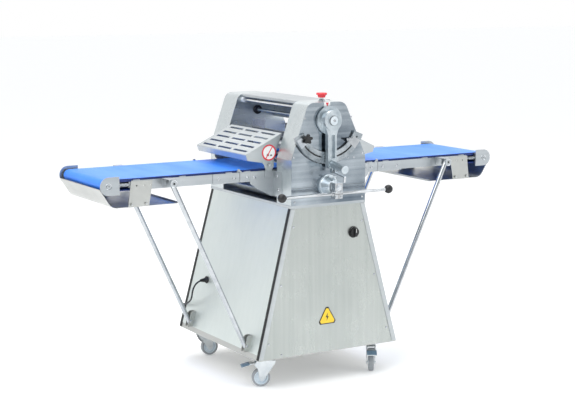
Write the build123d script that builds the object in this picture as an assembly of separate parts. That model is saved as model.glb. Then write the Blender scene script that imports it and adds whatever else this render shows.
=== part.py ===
from build123d import *
import math
import os

# Dough sheeter on casters. Millimetres. +X runs along the conveyor, -Y is the operator's side,
# +Z is up. The origin is on the floor, under the middle of the cabinet.

# Driving dimensions: cabinet
CABINET_BASE_Z = 138.0
CABINET_TOP_Z = 778.0
CABINET_BASE_HALF = (356.0, 374.0)
CABINET_TOP_HALF = (188.0, 358.0)
PANEL = 2.0
SEAL_T = 1.2
SEAL_WIDTH = 18.0
TRAY_BOTTOM_Z = 134.0
SKIRT_TOP_Z = 157.0
DECK_TOP_Z = 790.0

# Driving dimensions: head
HOUSING_HALF = 188.0
HOUSING_SHOULDER_Z = 985.0
HOUSING_TOP_LEFT = 104.0
HOUSING_TOP_RIGHT = 80.0
HOUSING_TOP_Z = 1226.0
HOUSING_INNER_Y = 243.0
HOUSING_OUTER_Y = 365.0
WALL = 3.0
HUB_X = -6.0
HUB_Z = 1150.0
PINION_R = 25.0
GRIP_R = 15.0
GRIP_DROOP = 8.0

# Driving dimensions: conveyor
BELT_TOP_Z = 938.0
BELT_HALF = 202.0
BELT_T = 1.7
ROLLER_Z = 913.0
ROLLER_R = 23.0
TAIL_X = 962.0
DRIVE_X = 88.0
FOLD_X = 356.0
RAIL_IN_Y = 212.0
RAIL_OUT_Y = 215.0
RAIL_Z = (890.0, 930.0)
RAIL_END_X = 861.0
BED_HALF = 196.0
BED_Z = (932.5, 935.9)

# Driving dimensions: sheeting rollers
SHEETING_R = 42.0
ROLL_GAP = 20.0
JOURNAL_R = 12.0
RUNNING_GAP = 0.05

# Driving dimensions: struts and casters
STRUT_Y = 266.0
STRUT_R = 10.5
STRUT_TOP = (702.0, 914.0)
STRUT_FOOT_REACH = 7.0
STRUT_FOOT = (362.0, 184.0)
CASTER_XY = (270.0, 300.0)
WHEEL_R = 40.0
HEAD_TOP_Z = 118.0
TRAIL = 29.0
CASTER_TURNS = {"front_left": 158.0, "rear_left": -8.0, "front_right": -121.0, "rear_right": 40.0}

# Driving dimensions: power cord
CORD_R = 4.0
CORD_LENGTH = 1850.0
CORD_ROUTE = [
    (-325, 213, 379), (-345, 215, 370), (-358, 218, 353), (-363, 225, 330), (-361, 234, 308),
    (-357, 248, 292), (-353, 268, 277), (-352, 292, 263), (-351, 320, 252), (-349, 350, 245),
    (-341, 377, 239), (-324, 395, 230), (-301, 408, 216), (-280, 420, 192), (-262, 430, 160),
    (-248, 438, 124), (-236, 446, 88), (-222, 454, 54), (-202, 462, 26), (-172, 470, 9),
    (-128, 474, 4), (-76, 473, 4), (-26, 469, 4), (26, 466, 4), (80, 466, 4),
]
CORD_GLAND = (213.0, 379.0)
COIL_MEAN_R = 44.0

os.makedirs("parts", exist_ok=True)


def block(x0, x1, y0, y1, z0, z1):
    centre = ((x0 + x1) / 2, (y0 + y1) / 2, (z0 + z1) / 2)
    return Pos(*centre) * Box(abs(x1 - x0), abs(y1 - y0), abs(z1 - z0))


def rod_x(y, z, radius, x0, x1):
    return Pos((x0 + x1) / 2, y, z) * Rot(0, 90, 0) * Cylinder(radius, abs(x1 - x0))


def rod_y(x, z, radius, y0, y1):
    return Pos(x, (y0 + y1) / 2, z) * Rot(90, 0, 0) * Cylinder(radius, abs(y1 - y0))


def rod_z(x, y, radius, z0, z1):
    return Pos(x, y, (z0 + z1) / 2) * Cylinder(radius, abs(z1 - z0))


def xz_plane(y):
    """Work plane whose local x and y are the model's x and z; it extrudes towards -Y."""
    return Plane(origin=(0, y, 0), x_dir=(1, 0, 0), z_dir=(0, -1, 0))


def plate_xz(points, y0, y1):
    face = make_face(Polyline(*points, close=True))
    return extrude(xz_plane(max(y0, y1)) * face, amount=abs(y1 - y0))


def offset_path(points, distance):
    """The path shifted sideways by a distance (left of travel), with mitred corners."""
    moved = []
    for i, (x, z) in enumerate(points):
        before = points[max(i - 1, 0)]
        after = points[min(i + 1, len(points) - 1)]
        arms = []
        for a, b in ((before, (x, z)), ((x, z), after)):
            length = math.dist(a, b)
            if length > 0:
                arms.append((-(b[1] - a[1]) / length, (b[0] - a[0]) / length))
        nx = sum(a[0] for a in arms) / len(arms)
        nz = sum(a[1] for a in arms) / len(arms)
        scale = distance / (nx * nx + nz * nz)
        moved.append((x + nx * scale, z + nz * scale))
    return moved


def sheet_xz(points, thickness, y0, y1, radius=0.0):
    """A folded sheet: a path in X and Z given a thickness, with rounded bends."""
    sides = []
    for sign in (1, -1):
        path = offset_path(points, sign * thickness / 2)
        radii = []
        for a, b, c in zip(points, points[1:], points[2:]):
            turn = (b[0] - a[0]) * (c[1] - b[1]) - (b[1] - a[1]) * (c[0] - b[0])
            side = 1 if turn > 0 else -1
            radii.append(max(radius - side * sign * thickness / 2, 0.3))
        sides.append(FilletPolyline(*path, radius=radii) if radius else Polyline(*path))
    left, right = sides
    face = make_face([left, right, Line(left @ 0, right @ 0), Line(left @ 1, right @ 1)])
    return extrude(xz_plane(max(y0, y1)) * face, amount=abs(y1 - y0))


def flip_x(shape):
    return mirror(shape, about=Plane.YZ)


def flip_y(shape):
    return mirror(shape, about=Plane.XZ)


def with_flip_y(shapes):
    return list(shapes) + [flip_y(s) for s in shapes]


def save(name, *shapes):
    solids = []
    for shape in shapes:
        solids.extend(shape.solids())
    result = solids[0] if len(solids) == 1 else Compound(children=solids)
    result.label = name
    export_step(result, f"parts/{name}.step")


def save_pair(name, shapes):
    """The left-hand piece and its mirror image on the right-hand side."""
    save(f"left_{name}", *shapes)
    save(f"right_{name}", *[flip_x(s) for s in shapes])


def side_x(z):
    """Half length of the cabinet at a height."""
    part = (z - CABINET_BASE_Z) / (CABINET_TOP_Z - CABINET_BASE_Z)
    return CABINET_BASE_HALF[0] + part * (CABINET_TOP_HALF[0] - CABINET_BASE_HALF[0])


def front_y(z):
    """Half depth of the cabinet at a height."""
    part = (z - CABINET_BASE_Z) / (CABINET_TOP_Z - CABINET_BASE_Z)
    return CABINET_BASE_HALF[1] + part * (CABINET_TOP_HALF[1] - CABINET_BASE_HALF[1])


def tapered(inset_x, inset_y):
    """The cabinet's tapered block, drawn in from its outside by two insets."""
    base = Rectangle(2 * (CABINET_BASE_HALF[0] - inset_x), 2 * (CABINET_BASE_HALF[1] - inset_y))
    top = Rectangle(2 * (CABINET_TOP_HALF[0] - inset_x), 2 * (CABINET_TOP_HALF[1] - inset_y))
    return loft([Pos(0, 0, CABINET_BASE_Z) * base, Pos(0, 0, CABINET_TOP_Z) * top], ruled=True)


# ---------------------------------------------------------------- cabinet


def make_base_tray():
    x, y = CABINET_BASE_HALF
    pan = block(-x, x, -y, y, TRAY_BOTTOM_Z, CABINET_BASE_Z)
    pan -= block(-x + WALL, x - WALL, -y + WALL, y - WALL, TRAY_BOTTOM_Z + WALL, 200)
    skirt = tapered(0.8, PANEL + 0.5) - tapered(0.8 + PANEL, -500)
    pan += skirt & block(-500, 500, -500, 500, CABINET_BASE_Z - 1, SKIRT_TOP_Z)
    solids = [pan]
    low = TRAY_BOTTOM_Z - 4
    for sx in (-1, 1):
        for sy in (-1, 1):
            cx, cy = sx * CASTER_XY[0], sy * CASTER_XY[1]
            plate = block(cx - 45, cx + 45, cy - 33, cy + 33, low, TRAY_BOTTOM_Z)
            plate += rod_z(cx, cy, 22, HEAD_TOP_Z + 3, low)
            plate += rod_z(cx, cy, 6, HEAD_TOP_Z - 13, low)
            plate += rod_z(cx, cy, 10, HEAD_TOP_Z - 15, HEAD_TOP_Z - 10)
            for bx in (-35, 35):
                for by in (-23, 23):
                    plate += rod_z(cx + bx, cy + by, 6, low - 4, low)
            solids.append(plate)
    save("base_tray", *solids)


def make_cabinet():
    outer = tapered(0, 0)
    far = 500
    front_cut = tapered(-far, PANEL)
    sides = outer - tapered(PANEL, -far)
    sides = sides & front_cut
    sides -= block(-500, 500, -500, 500, CABINET_BASE_Z - 1, SKIRT_TOP_Z)
    ends = outer - front_cut
    gland_y, gland_z = CORD_GLAND
    gland_hole = rod_x(gland_y, gland_z, 9, -side_x(gland_z) - 20, -side_x(gland_z) + 20)
    knob_hole = rod_y(131, 651, 7, -400, -340)
    front = [s for s in ends.solids() if s.center().Y < 0][0] - knob_hole
    back = [s for s in ends.solids() if s.center().Y > 0][0]
    for row in range(7):
        back -= block(-60, 60, 300, 400, 260 + 22 * row, 266 + 22 * row)
    save("side_panels", sides - gland_hole)
    save("front_panel", front)
    save("back_panel", back)
    strips = []
    for sx in (-1, 1):
        for sy in (-1, 1):
            inset = SEAL_WIDTH / 2 + 1
            low = Pos(sx * (CABINET_BASE_HALF[0] + SEAL_T / 2), sy * (CABINET_BASE_HALF[1] - inset), CABINET_BASE_Z)
            high = Pos(sx * (CABINET_TOP_HALF[0] + SEAL_T / 2), sy * (CABINET_TOP_HALF[1] - inset), CABINET_TOP_Z)
            section = Rectangle(SEAL_T, SEAL_WIDTH)
            strips.append(loft([low * section, high * section], ruled=True))
    save("corner_seals", *strips)
    x, y = CABINET_TOP_HALF[0] + 2, CABINET_TOP_HALF[1] + 7
    deck = block(-x, x, -y, y, CABINET_TOP_Z, DECK_TOP_Z)
    deck -= block(-x + WALL, x - WALL, -y + WALL, y - WALL, CABINET_TOP_Z - 1, DECK_TOP_Z - WALL)
    deck -= block(-60, 60, 290, 310, 700, 800)
    save("cabinet_deck", deck)


# ---------------------------------------------------------------- housings


def housing_face(inset=0.0, shift=0.0):
    """The outline of a side housing in X and Z, drawn in by an inset."""
    x = HOUSING_HALF - inset
    top = HOUSING_TOP_Z - inset
    ends = []
    for half in (HOUSING_TOP_LEFT, HOUSING_TOP_RIGHT):
        lean = (HOUSING_HALF - half) / (HOUSING_TOP_Z - HOUSING_SHOULDER_Z)
        ends.append(half - inset * (math.hypot(1, lean) - lean))
    bottom = DECK_TOP_Z - shift
    points = [(-x, bottom), (-x, HOUSING_SHOULDER_Z), (-ends[0], top), (ends[1], top)]
    points += [(x, HOUSING_SHOULDER_Z), (x, bottom)]
    face = make_face(Polyline(*points, close=True))
    face = fillet(face.vertices().group_by(Axis.Y)[-1].sort_by(Axis.X)[0], 40 - inset)
    return fillet(face.vertices().sort_by(lambda v: math.dist((v.X, v.Y), (ends[1], top)))[0], 45 - inset)


def housing_slab(y0, y1, inset=0.0, shift=0.0):
    return extrude(xz_plane(max(y0, y1)) * housing_face(inset, shift), amount=abs(y1 - y0))


def wall_holes(y0, y1):
    """Holes that the shafts need in an inner wall between two Y values."""
    holes = [rod_y(HUB_X, HUB_Z, 9, y0, y1), rod_y(0, roller_low_z(), JOURNAL_R + 3, y0, y1)]
    holes += [rod_y(sx * DRIVE_X, ROLLER_Z, 13, y0, y1) for sx in (-1, 1)]
    holes.append(block(-34, 34, y0, y1, 962, 1094))
    return holes


def roller_low_z():
    return BELT_TOP_Z - SHEETING_R


def roller_up_z():
    return BELT_TOP_Z + ROLL_GAP + SHEETING_R


def make_housings():
    face_t = 2.0
    shell = housing_slab(HOUSING_INNER_Y, HOUSING_OUTER_Y - face_t)
    shell -= housing_slab(HOUSING_INNER_Y + WALL, HOUSING_OUTER_Y + 10, 2.5, 5)
    for hole in wall_holes(HOUSING_INNER_Y - 2, HOUSING_INNER_Y + WALL + 2):
        shell -= hole
    front = flip_y(shell) - rod_z(3, -300, 9.5, 1210, 1240)
    save("front_housing", front)
    cover = housing_slab(HOUSING_OUTER_Y - face_t, HOUSING_OUTER_Y)
    save("rear_housing", shell + cover)
    plate = flip_y(cover) - rod_y(HUB_X, HUB_Z, 12, -380, -350)
    seam = block(-300, 300, -400, -300, 864.5, 865.5)
    save("front_plate", plate - seam)


def make_head_frame():
    inner = HOUSING_INNER_Y
    x, z = 84, HOUSING_TOP_Z
    path = [(-x - 4, z - 12), (-x - 4, z - 1), (x, z - 1), (x, z - 110)]
    save("top_cover", sheet_xz(path, 2, -inner, inner, 6))
    solids = []
    for bar_x in (-x + 6, x - 20):
        solids.append(rod_y(bar_x, z - 27, 7.5, -inner + 14, inner - 14))
        for sy in (-1, 1):
            solids.append(rod_y(bar_x, z - 27, 14, sy * inner, sy * (inner - 14)))
    save("tie_bars", *solids)


def make_bearing_blocks():
    y0, y1 = HOUSING_INNER_Y + WALL, HOUSING_INNER_Y + WALL + 16
    body = block(-122, 122, y0, y1, 868, 940)
    body -= rod_y(0, roller_low_z(), JOURNAL_R + RUNNING_GAP, y0 - 1, y1 + 1)
    for sx in (-1, 1):
        body -= rod_y(sx * DRIVE_X, ROLLER_Z, 10 + RUNNING_GAP, y0 - 1, y1 + 1)
        body += block(sx * 32.4, sx * 42, y0, y1, 940, 1098)
    ring = rod_y(HUB_X, HUB_Z, 18, y0 - 12, y0 + 3) - rod_y(HUB_X, HUB_Z, 7 + RUNNING_GAP, y0 - 20, y0 + 20)
    ring -= rod_y(HUB_X, HUB_Z, 40, y0 - WALL, y0 + 4) - rod_y(HUB_X, HUB_Z, 8.8, y0 - WALL - 1, y0 + 5)
    save("bearing_blocks", body, flip_y(body), ring, flip_y(ring))


def make_motor():
    sprocket_z = 560
    low_z = roller_low_z()
    y0, y1 = 297, 303
    motor = rod_y(0, sprocket_z, 68, 40, 230) + rod_y(0, sprocket_z, 40, 230, 292)
    motor += block(-60, 60, 60, 210, sprocket_z - 100, sprocket_z - 60)
    wheel = rod_y(0, sprocket_z, 36, y0, y1) + rod_y(0, sprocket_z, 12, 292, y0)
    loop_outer = hull_band(48, 42, low_z, sprocket_z, y0, y1)
    loop = loop_outer - hull_band(43, 37, low_z, sprocket_z, y0 - 1, y1 + 1)
    bench = block(-100, 100, 50, 220, sprocket_z - 104, sprocket_z - 100)
    for sx in (-1, 1):
        bench += block(sx * 96, sx * 100, 50, 220, TRAY_BOTTOM_Z + WALL, sprocket_z - 100)
    save("drive_motor", motor + wheel, loop, bench)


def hull_band(r_top, r_low, z_top, z_low, y0, y1):
    """A closed band's filled outline around two wheels, one above the other."""
    lean = math.asin((r_top - r_low) / (z_top - z_low))
    c, s = math.cos(lean), math.sin(lean)
    points = [(r_top * c, z_top - r_top * s), (-r_top * c, z_top - r_top * s)]
    points += [(-r_low * c, z_low - r_low * s), (r_low * c, z_low - r_low * s)]
    band = plate_xz(points, y0, y1)
    band += rod_y(0, z_top, r_top, y0, y1)
    band += rod_y(0, z_low, r_low, y0, y1)
    return band


# ---------------------------------------------------------------- conveyor


def make_inner_frames():
    x0, x1 = FOLD_X - 1, 118
    left = []
    rails = [block(-x0, -x1, RAIL_IN_Y, RAIL_OUT_Y, *RAIL_Z)]
    rails.append(block(-x0, -305.5, RAIL_OUT_Y, RAIL_OUT_Y + 3, 887, 930))
    lug = rod_y(-FOLD_X, BELT_TOP_Z, 5.5, 208.4, 211.8) + plate_xz(
        [(-FOLD_X + 1, 943), (-346, 934), (-338, 926), (-348, 922), (-FOLD_X + 1, 934)], 208.4, 211.8)
    lug += block(-354, -338, 208.4, RAIL_IN_Y, 918, 927)
    lug += rod_y(-FOLD_X, BELT_TOP_Z, 3, 203.6, 211.8)
    rails.append(lug)
    bracket = [(-305, 928), (-187, 928), (-187, 818), (-203, 818), (-277, 858), (-305, 878)]
    rails.append(plate_xz(bracket, RAIL_OUT_Y, RAIL_OUT_Y + 3))
    rails.append(block(-191, -HOUSING_HALF, RAIL_OUT_Y, 288, 818, 928))
    ear = [(-236, 900), (-198, 900), (-203, 956), (-231, 956)]
    rails.append(plate_xz(ear, RAIL_OUT_Y + 3, RAIL_OUT_Y + 7) + rod_y(-217, 954, 14, RAIL_OUT_Y + 3, RAIL_OUT_Y + 7))
    rails.append(rod_y(-217, 954, 5, RAIL_OUT_Y + 3, 231) + rod_y(-217, 954, 9, 229.5, 233))
    side = rails[0]
    for piece in rails[1:]:
        side += piece
    frame = side + flip_y(side)
    frame += block(-x0, -116, -BED_HALF, BED_HALF, *BED_Z)
    for xa, xb in ((-330, -300), (-200, -170)):
        frame += block(xa, xb, -RAIL_IN_Y, RAIL_IN_Y, 900, BED_Z[0])
    left.append(frame)
    crumb = sheet_xz([(-230, 846), (-150, 800), (-60, 796)], 1.5, -205, 205, 10)
    left.append(crumb)
    save("inner_frames", *left, *[flip_x(s) for s in left])


def belt_half(x_roller, x_open):
    """Half of a belt loop: two flat runs and the bend around one roller."""
    r_out = BELT_TOP_Z - ROLLER_Z
    r_in = r_out - BELT_T
    low, high = min(x_roller, x_open), max(x_roller, x_open)
    band = block(low, high, -BELT_HALF, BELT_HALF, ROLLER_Z - r_out, ROLLER_Z + r_out)
    band += rod_y(x_roller, ROLLER_Z, r_out, -BELT_HALF, BELT_HALF)
    hollow = block(low - 1 if x_open < x_roller else x_roller, high + 1 if x_open > x_roller else x_roller,
                   -BELT_HALF - 1, BELT_HALF + 1, ROLLER_Z - r_in, ROLLER_Z + r_in)
    hollow += rod_y(x_roller, ROLLER_Z, r_in, -BELT_HALF - 1, BELT_HALF + 1)
    return band - hollow


def make_belts():
    inner = belt_half(-DRIVE_X, -FOLD_X + 0.5)
    save("inner_belts", inner, flip_x(inner))
    save_pair("table_belt", [belt_half(-TAIL_X, -FOLD_X - 0.5)])


def make_table_frames():
    x0, x1 = FOLD_X + 1, RAIL_END_X
    side = block(-x1, -x0, RAIL_IN_Y, RAIL_OUT_Y, *RAIL_Z)
    side += block(-486, -x0, RAIL_OUT_Y, RAIL_OUT_Y + 3, 887, 930)
    knuckle = rod_y(-FOLD_X, BELT_TOP_Z, 5.5, 204.4, 208.0)
    knuckle += plate_xz([(-FOLD_X, 943), (-364, 934), (-364, 922), (-360, 922), (-FOLD_X, 933)], 204.4, 208.0)
    knuckle += block(-376, -362, 204.4, RAIL_IN_Y, 916, 928)
    knuckle -= rod_y(-FOLD_X, BELT_TOP_Z, 3 + RUNNING_GAP, 200, 215)
    side += knuckle
    side += block(-x1 - 10, -x1 + 14, 203.6, RAIL_IN_Y, 901, 925)
    side -= rod_x(208, ROLLER_Z, 4.2, -900, -840)
    ear_in, ear_out = STRUT_Y - 14.5, STRUT_Y + 11.5
    px, pz = STRUT_TOP
    side += block(-px - 20, -px + 20, RAIL_OUT_Y, RAIL_OUT_Y + 3, 896, 929)
    side += block(-px - 20, -px + 20, RAIL_OUT_Y, ear_out + 3, 928.5, 931.5)
    for ear in (ear_in, ear_out):
        side += block(-px - 20, -px + 14, ear, ear + 3, 902, 930)
    side += rod_y(-px, pz, 5, ear_in, ear_out + 6)
    side += rod_y(-px, pz, 17, ear_out + 3, ear_out + 11)
    frame = side + flip_y(side)
    frame += block(-930, -x0, -BED_HALF, BED_HALF, *BED_Z)
    for xa, xb in ((-420, -390), (-640, -610), (-850, -820)):
        frame += block(xa, xb, -RAIL_IN_Y, RAIL_IN_Y, 900, BED_Z[0])
    save_pair("table_frame", [frame])


def make_rollers():
    def turned(x, z, radius, half, journal, reach):
        return rod_y(x, z, radius, -half, half) + rod_y(x, z, journal, -reach, reach)

    reach = HOUSING_INNER_Y + WALL + 16
    lower = turned(0, roller_low_z(), SHEETING_R, 218, JOURNAL_R, reach)
    lower += rod_y(0, roller_low_z(), JOURNAL_R, reach, 304)
    lower += rod_y(0, roller_low_z(), 42, 297, 303)
    save("lower_roller", lower)
    save("upper_roller", turned(0, roller_up_z(), SHEETING_R, 218, JOURNAL_R, reach))
    save_pair("drive_roller", [turned(-DRIVE_X, ROLLER_Z, ROLLER_R, 206, 10, reach)])
    tail = rod_y(-TAIL_X, ROLLER_Z, ROLLER_R, -206, 206)
    save_pair("tail_roller", [tail - rod_y(-TAIL_X, ROLLER_Z, 8 + RUNNING_GAP, -210, 210)])


def make_end_caps():
    y0, y1 = 216, 219
    radius, inner_x = 38, 915
    plate = rod_y(-TAIL_X, ROLLER_Z, radius, y0, y1)
    plate += block(-TAIL_X, -inner_x, y0, y1, ROLLER_Z - radius, ROLLER_Z + radius)
    plate += block(-inner_x - 3, -inner_x, 204, y1, ROLLER_Z - 23, ROLLER_Z + 23)
    plate += rod_x(208, ROLLER_Z, 4, -inner_x - 8, -RAIL_END_X + 2)
    plate += rod_x(208, ROLLER_Z, 7, -inner_x - 9, -inner_x - 3)
    plate += rod_y(-TAIL_X, ROLLER_Z, 9, y1, y1 + 2)
    for turn in range(6):
        plate += rod_x(208, ROLLER_Z, 7.5, -inner_x + 4 + 6 * turn, -inner_x + 7 + 6 * turn)
    caps = plate + flip_y(plate) + rod_y(-TAIL_X, ROLLER_Z, 8, -217, 217)
    save_pair("end_caps", [caps])


def make_catch_trays():
    half = RAIL_IN_Y
    path = [(-649, 820.8), (-948, 820.8), (-999, 901)]
    tray = sheet_xz(path, 1.6, -half, half, 42)
    tray += block(-651, -649, -half, half, 820, 828)
    solids = []
    for sy in (-1, 1):
        tray += block(-872, -786, sy * (half - 2), sy * (half + 3), 820, 844)
        hanger = plate_xz([(-863, 928), (-765, 926), (-783, 822), (-877, 822)],
                          sy * RAIL_OUT_Y, sy * (RAIL_OUT_Y + 2.5))
        for hole_x in (-838, -805, -776):
            hanger -= rod_y(hole_x, 908, 3.2, sy * 200, sy * 230)
        solids.append(hanger)
        for nut_x in (-862, -797):
            nut = Pos(nut_x, sy * (RAIL_OUT_Y + 5), 832) * Rot(90, 0, 0) * extrude(RegularPolygon(6, 6), 5, both=False)
            solids.append(nut if sy < 0 else Pos(0, 2.5, 0) * nut)
    save_pair("catch_tray", [tray] + solids)


# ---------------------------------------------------------------- rollers' carriage and levers


def make_carriage():
    y0, y1 = HOUSING_INNER_Y + WALL + 2.2, HOUSING_INNER_Y + WALL + 15.8
    up_z = roller_up_z()
    cheek = block(-32, 32, y0, y1, up_z - 28, up_z + 72)
    cheek -= rod_y(0, up_z, JOURNAL_R + RUNNING_GAP, y0 - 1, y1 + 1)
    rack_x = HUB_X + PINION_R + 0.5
    cheek += block(rack_x, rack_x + 12, y0 + 1, y1 - 1, up_z + 72, HUB_Z + 30)
    bar_z = up_z + 60
    body = cheek + flip_y(cheek)
    body += block(-9, 9, -y0, y0, bar_z - 6, bar_z + 6)
    body += block(-3, 3, -214, 214, up_z + SHEETING_R + 1.2, bar_z)
    save("upper_carriage", body)


def make_thickness_lever():
    y_plate = -HOUSING_OUTER_Y
    back, front = y_plate - 15, y_plate - 37
    arm = rod_y(HUB_X, HUB_Z, 43, front - 8, back)
    foot_z = 963
    profile = [(HUB_X - 22, HUB_Z), (HUB_X - 22, foot_z - 8), (HUB_X - 14, foot_z - 18)]
    profile += [(HUB_X + 14, foot_z - 18), (HUB_X + 22, foot_z - 8), (HUB_X + 22, HUB_Z)]
    arm += plate_xz(profile, front, back)
    flare = [(HUB_X - 40, HUB_Z - 12), (HUB_X - 22, HUB_Z - 62), (HUB_X + 22, HUB_Z - 62)]
    arm += plate_xz(flare + [(HUB_X + 40, HUB_Z - 12)], front, back)
    arm -= block(HUB_X - 13, HUB_X + 13, front - 1, front + 12, foot_z + 25, HUB_Z - 62)
    arm += rod_y(HUB_X, HUB_Z, 27, front - 11, front - 8)
    arm += rod_y(HUB_X, HUB_Z, 21, front - 15, front - 8)
    arm += rod_y(HUB_X, HUB_Z, 61, back, y_plate - 3)
    arm += rod_y(HUB_X, HUB_Z, 7, back, HOUSING_INNER_Y + WALL + 14)
    for sx in (-1, 1):
        arm += block(HUB_X + sx * 6, HUB_X + sx * 9, front - 11, front + 4, foot_z - 37, foot_z - 17)
    arm += rod_x(front - 6, foot_z - 32, 2.5, HUB_X - 9, HUB_X + 9)
    pinion = rod_y(HUB_X, HUB_Z, PINION_R, 249, 259)
    arm += pinion + flip_y(pinion)
    save("lever_arm", arm)
    grip = Cylinder(GRIP_R, 104, align=(Align.CENTER, Align.CENTER, Align.MIN))
    grip += Cylinder(GRIP_R + 3, 8, align=(Align.CENTER, Align.CENTER, Align.MIN))
    grip += Pos(0, 0, 101) * Cylinder(GRIP_R + 2.5, 6, align=(Align.CENTER, Align.CENTER, Align.MIN))
    for flute in range(8):
        grip -= Rot(0, 0, 45 * flute) * Pos(GRIP_R + 4.6, 0, 56) * Cylinder(5.6, 82)
    grip = Pos(HUB_X, front, foot_z) * Rot(90 + GRIP_DROOP, 0, 0) * Pos(0, 0, -6) * grip
    save("hand_grip", grip - block(-200, 200, front, front + 100, 800, 1100))
    trigger = Pos(0, -48, 0) * Box(10, 92, 5) + Pos(0, -92, -11) * Box(10, 5, 25) + rod_x(0, 0, 5, -5, 5)
    trigger -= rod_x(0, 0, 2.5 + RUNNING_GAP, -9, 9)
    save("thumb_trigger", Pos(HUB_X, front - 6, foot_z - 32) * Rot(GRIP_DROOP, 0, 0) * trigger)


def arc_points(radius, start, stop, steps):
    """Points on an arc about the hub; angles in degrees from straight down, positive to +X."""
    points = []
    for i in range(steps + 1):
        angle = math.radians(start + (stop - start) * i / steps)
        points.append((HUB_X + radius * math.sin(angle), HUB_Z - radius * math.cos(angle)))
    return points


def arc_band(r0, r1, start, stop, y0, y1):
    middle = (start + stop) / 2
    inner = arc_points(r0, start, stop, 2)
    outer = arc_points(r1, start, stop, 2)
    arc_a = ThreePointArc(*inner)
    arc_b = ThreePointArc(*outer)
    face = make_face([arc_a, arc_b, Line(inner[0], outer[0]), Line(inner[2], outer[2])])
    return extrude(xz_plane(max(y0, y1)) * face, amount=abs(y1 - y0))


def make_sector():
    reach, teeth = 68, 54
    y0, y1 = -HOUSING_OUTER_Y - 12, -HOUSING_OUTER_Y
    points = arc_points(138, -reach, reach, 36)
    for tooth in range(teeth, -1, -1):
        angle = -reach + 2 * reach * tooth / teeth
        points += arc_points(188, angle, angle, 1)[:1]
        if tooth:
            points += arc_points(184.5, angle - reach / teeth, angle, 1)[:1]
    band = plate_xz(points, y0, y1)
    for start in (-62, 14):
        band -= arc_band(158, 165, start, start + 48, y0 - 1, y0 + 6)
    save("gauge_sector", band)


def stop_block(angle):
    """A clamp shoe on the sector's face with an ear that the arm comes to rest on."""
    y0, y1 = -HOUSING_OUTER_Y - 14.4, -HOUSING_OUTER_Y - 12.2
    return arc_band(143, 182, angle - 7, angle + 7, y0, y1)


def make_stops():
    y_face = -HOUSING_OUTER_Y - 14.4
    left = stop_block(-57)
    lx, lz = arc_points(137, -57, -57, 1)[0]
    left += rod_y(lx, lz, 9, y_face - 4, y_face) + rod_y(lx, lz, 4, y_face - 12, y_face)
    left += plate_xz([(lx - 9, lz + 6), (lx + 9, lz - 6), (lx - 14, lz - 22), (lx - 28, lz - 8)],
                     y_face, y_face + 2.2)
    save("left_stop", left)
    star = rod_y(lx, lz, 13, y_face - 16, y_face - 4.4)
    for lobe in range(5):
        angle = math.radians(72 * lobe + 12)
        cx, cz = lx + 15 * math.cos(angle), lz + 15 * math.sin(angle)
        star += rod_y(cx, cz, 6.5, y_face - 15, y_face - 5)
    star -= rod_y(lx, lz, 4 + RUNNING_GAP, y_face - 12.4, y_face)
    save("star_knob", star)
    right = stop_block(52)
    rx, rz = arc_points(134, 48, 48, 1)[0]
    right += plate_xz([(rx - 10, rz - 4), (rx + 4, rz + 10), (rx + 20, rz - 2), (rx + 6, rz - 16)],
                      y_face, y_face + 2.2)
    right += rod_y(rx, rz, 8, y_face - 10, y_face)
    for sx in (-1, 1):
        wing = [(rx, rz - 4), (rx + sx * 17, rz - 1), (rx + sx * 17, rz + 9), (rx, rz + 4)]
        right += plate_xz(wing, y_face - 9, y_face - 5)
    save("right_stop", right)


SHIFT_Z = 868.0


def make_shift_lever():
    y_plate = -HOUSING_OUTER_Y
    lift = Plane(origin=(HUB_X, y_plate, SHIFT_Z), x_dir=(1, 0, 0), z_dir=(0, -1, 0))
    boss = extrude(lift * Circle(47), 6)
    boss += loft([lift.offset(6) * Circle(42), lift.offset(52) * Circle(27)])
    boss += rod_z(HUB_X, y_plate - 20, 12, SHIFT_Z + 20, SHIFT_Z + 40)
    boss += rod_y(HUB_X, SHIFT_Z, 8, y_plate - 88, y_plate - 40)
    save("lever_boss", boss)
    body = block(HUB_X - 19, HUB_X + 19, y_plate - 90, y_plate - 54, 820, 888)
    body += rod_x(y_plate - 70, 840, 11, HUB_X - 26, HUB_X + 26)
    body += rod_x(y_plate - 70, 840, 7, HUB_X - 258, HUB_X + 258)
    body -= rod_y(HUB_X, SHIFT_Z, 8 + RUNNING_GAP, y_plate - 88.5, y_plate - 50)
    for sx in (-1, 1):
        ball = Pos(HUB_X + sx * 270, y_plate - 70, 840) * Rot(0, 90, 0) * Sphere(19)
        body += ball
    save("shift_lever", body)


# ---------------------------------------------------------------- small controls and fittings

ESTOP_XY = (3.0, -300.0)
KNOB_XZ = (131.0, 651.0)


def make_controls():
    x, y = ESTOP_XY
    head = rod_z(x, y, 8, 1212, 1242)
    lift = Plane(origin=(x, y, 1241))
    head += loft([lift * Circle(15), lift.offset(12) * Circle(19)])
    head += extrude(lift.offset(12) * Circle(23.4), 9)
    head = fillet(head.edges().group_by(Axis.Z)[-1], 3)
    head += rod_z(x, y, 12, 1208, 1212)
    save("estop_button", head)
    kx, kz = KNOB_XZ
    y_panel = -front_y(kz)
    knob = rod_y(kx, kz, 5, y_panel - 8, y_panel + 20) + rod_y(kx, kz, 20, y_panel - 16, y_panel - 4.6)
    knob += block(kx - 5, kx + 5, y_panel - 25, y_panel - 15, kz - 18, kz + 18)
    save("switch_knob", knob)


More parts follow.
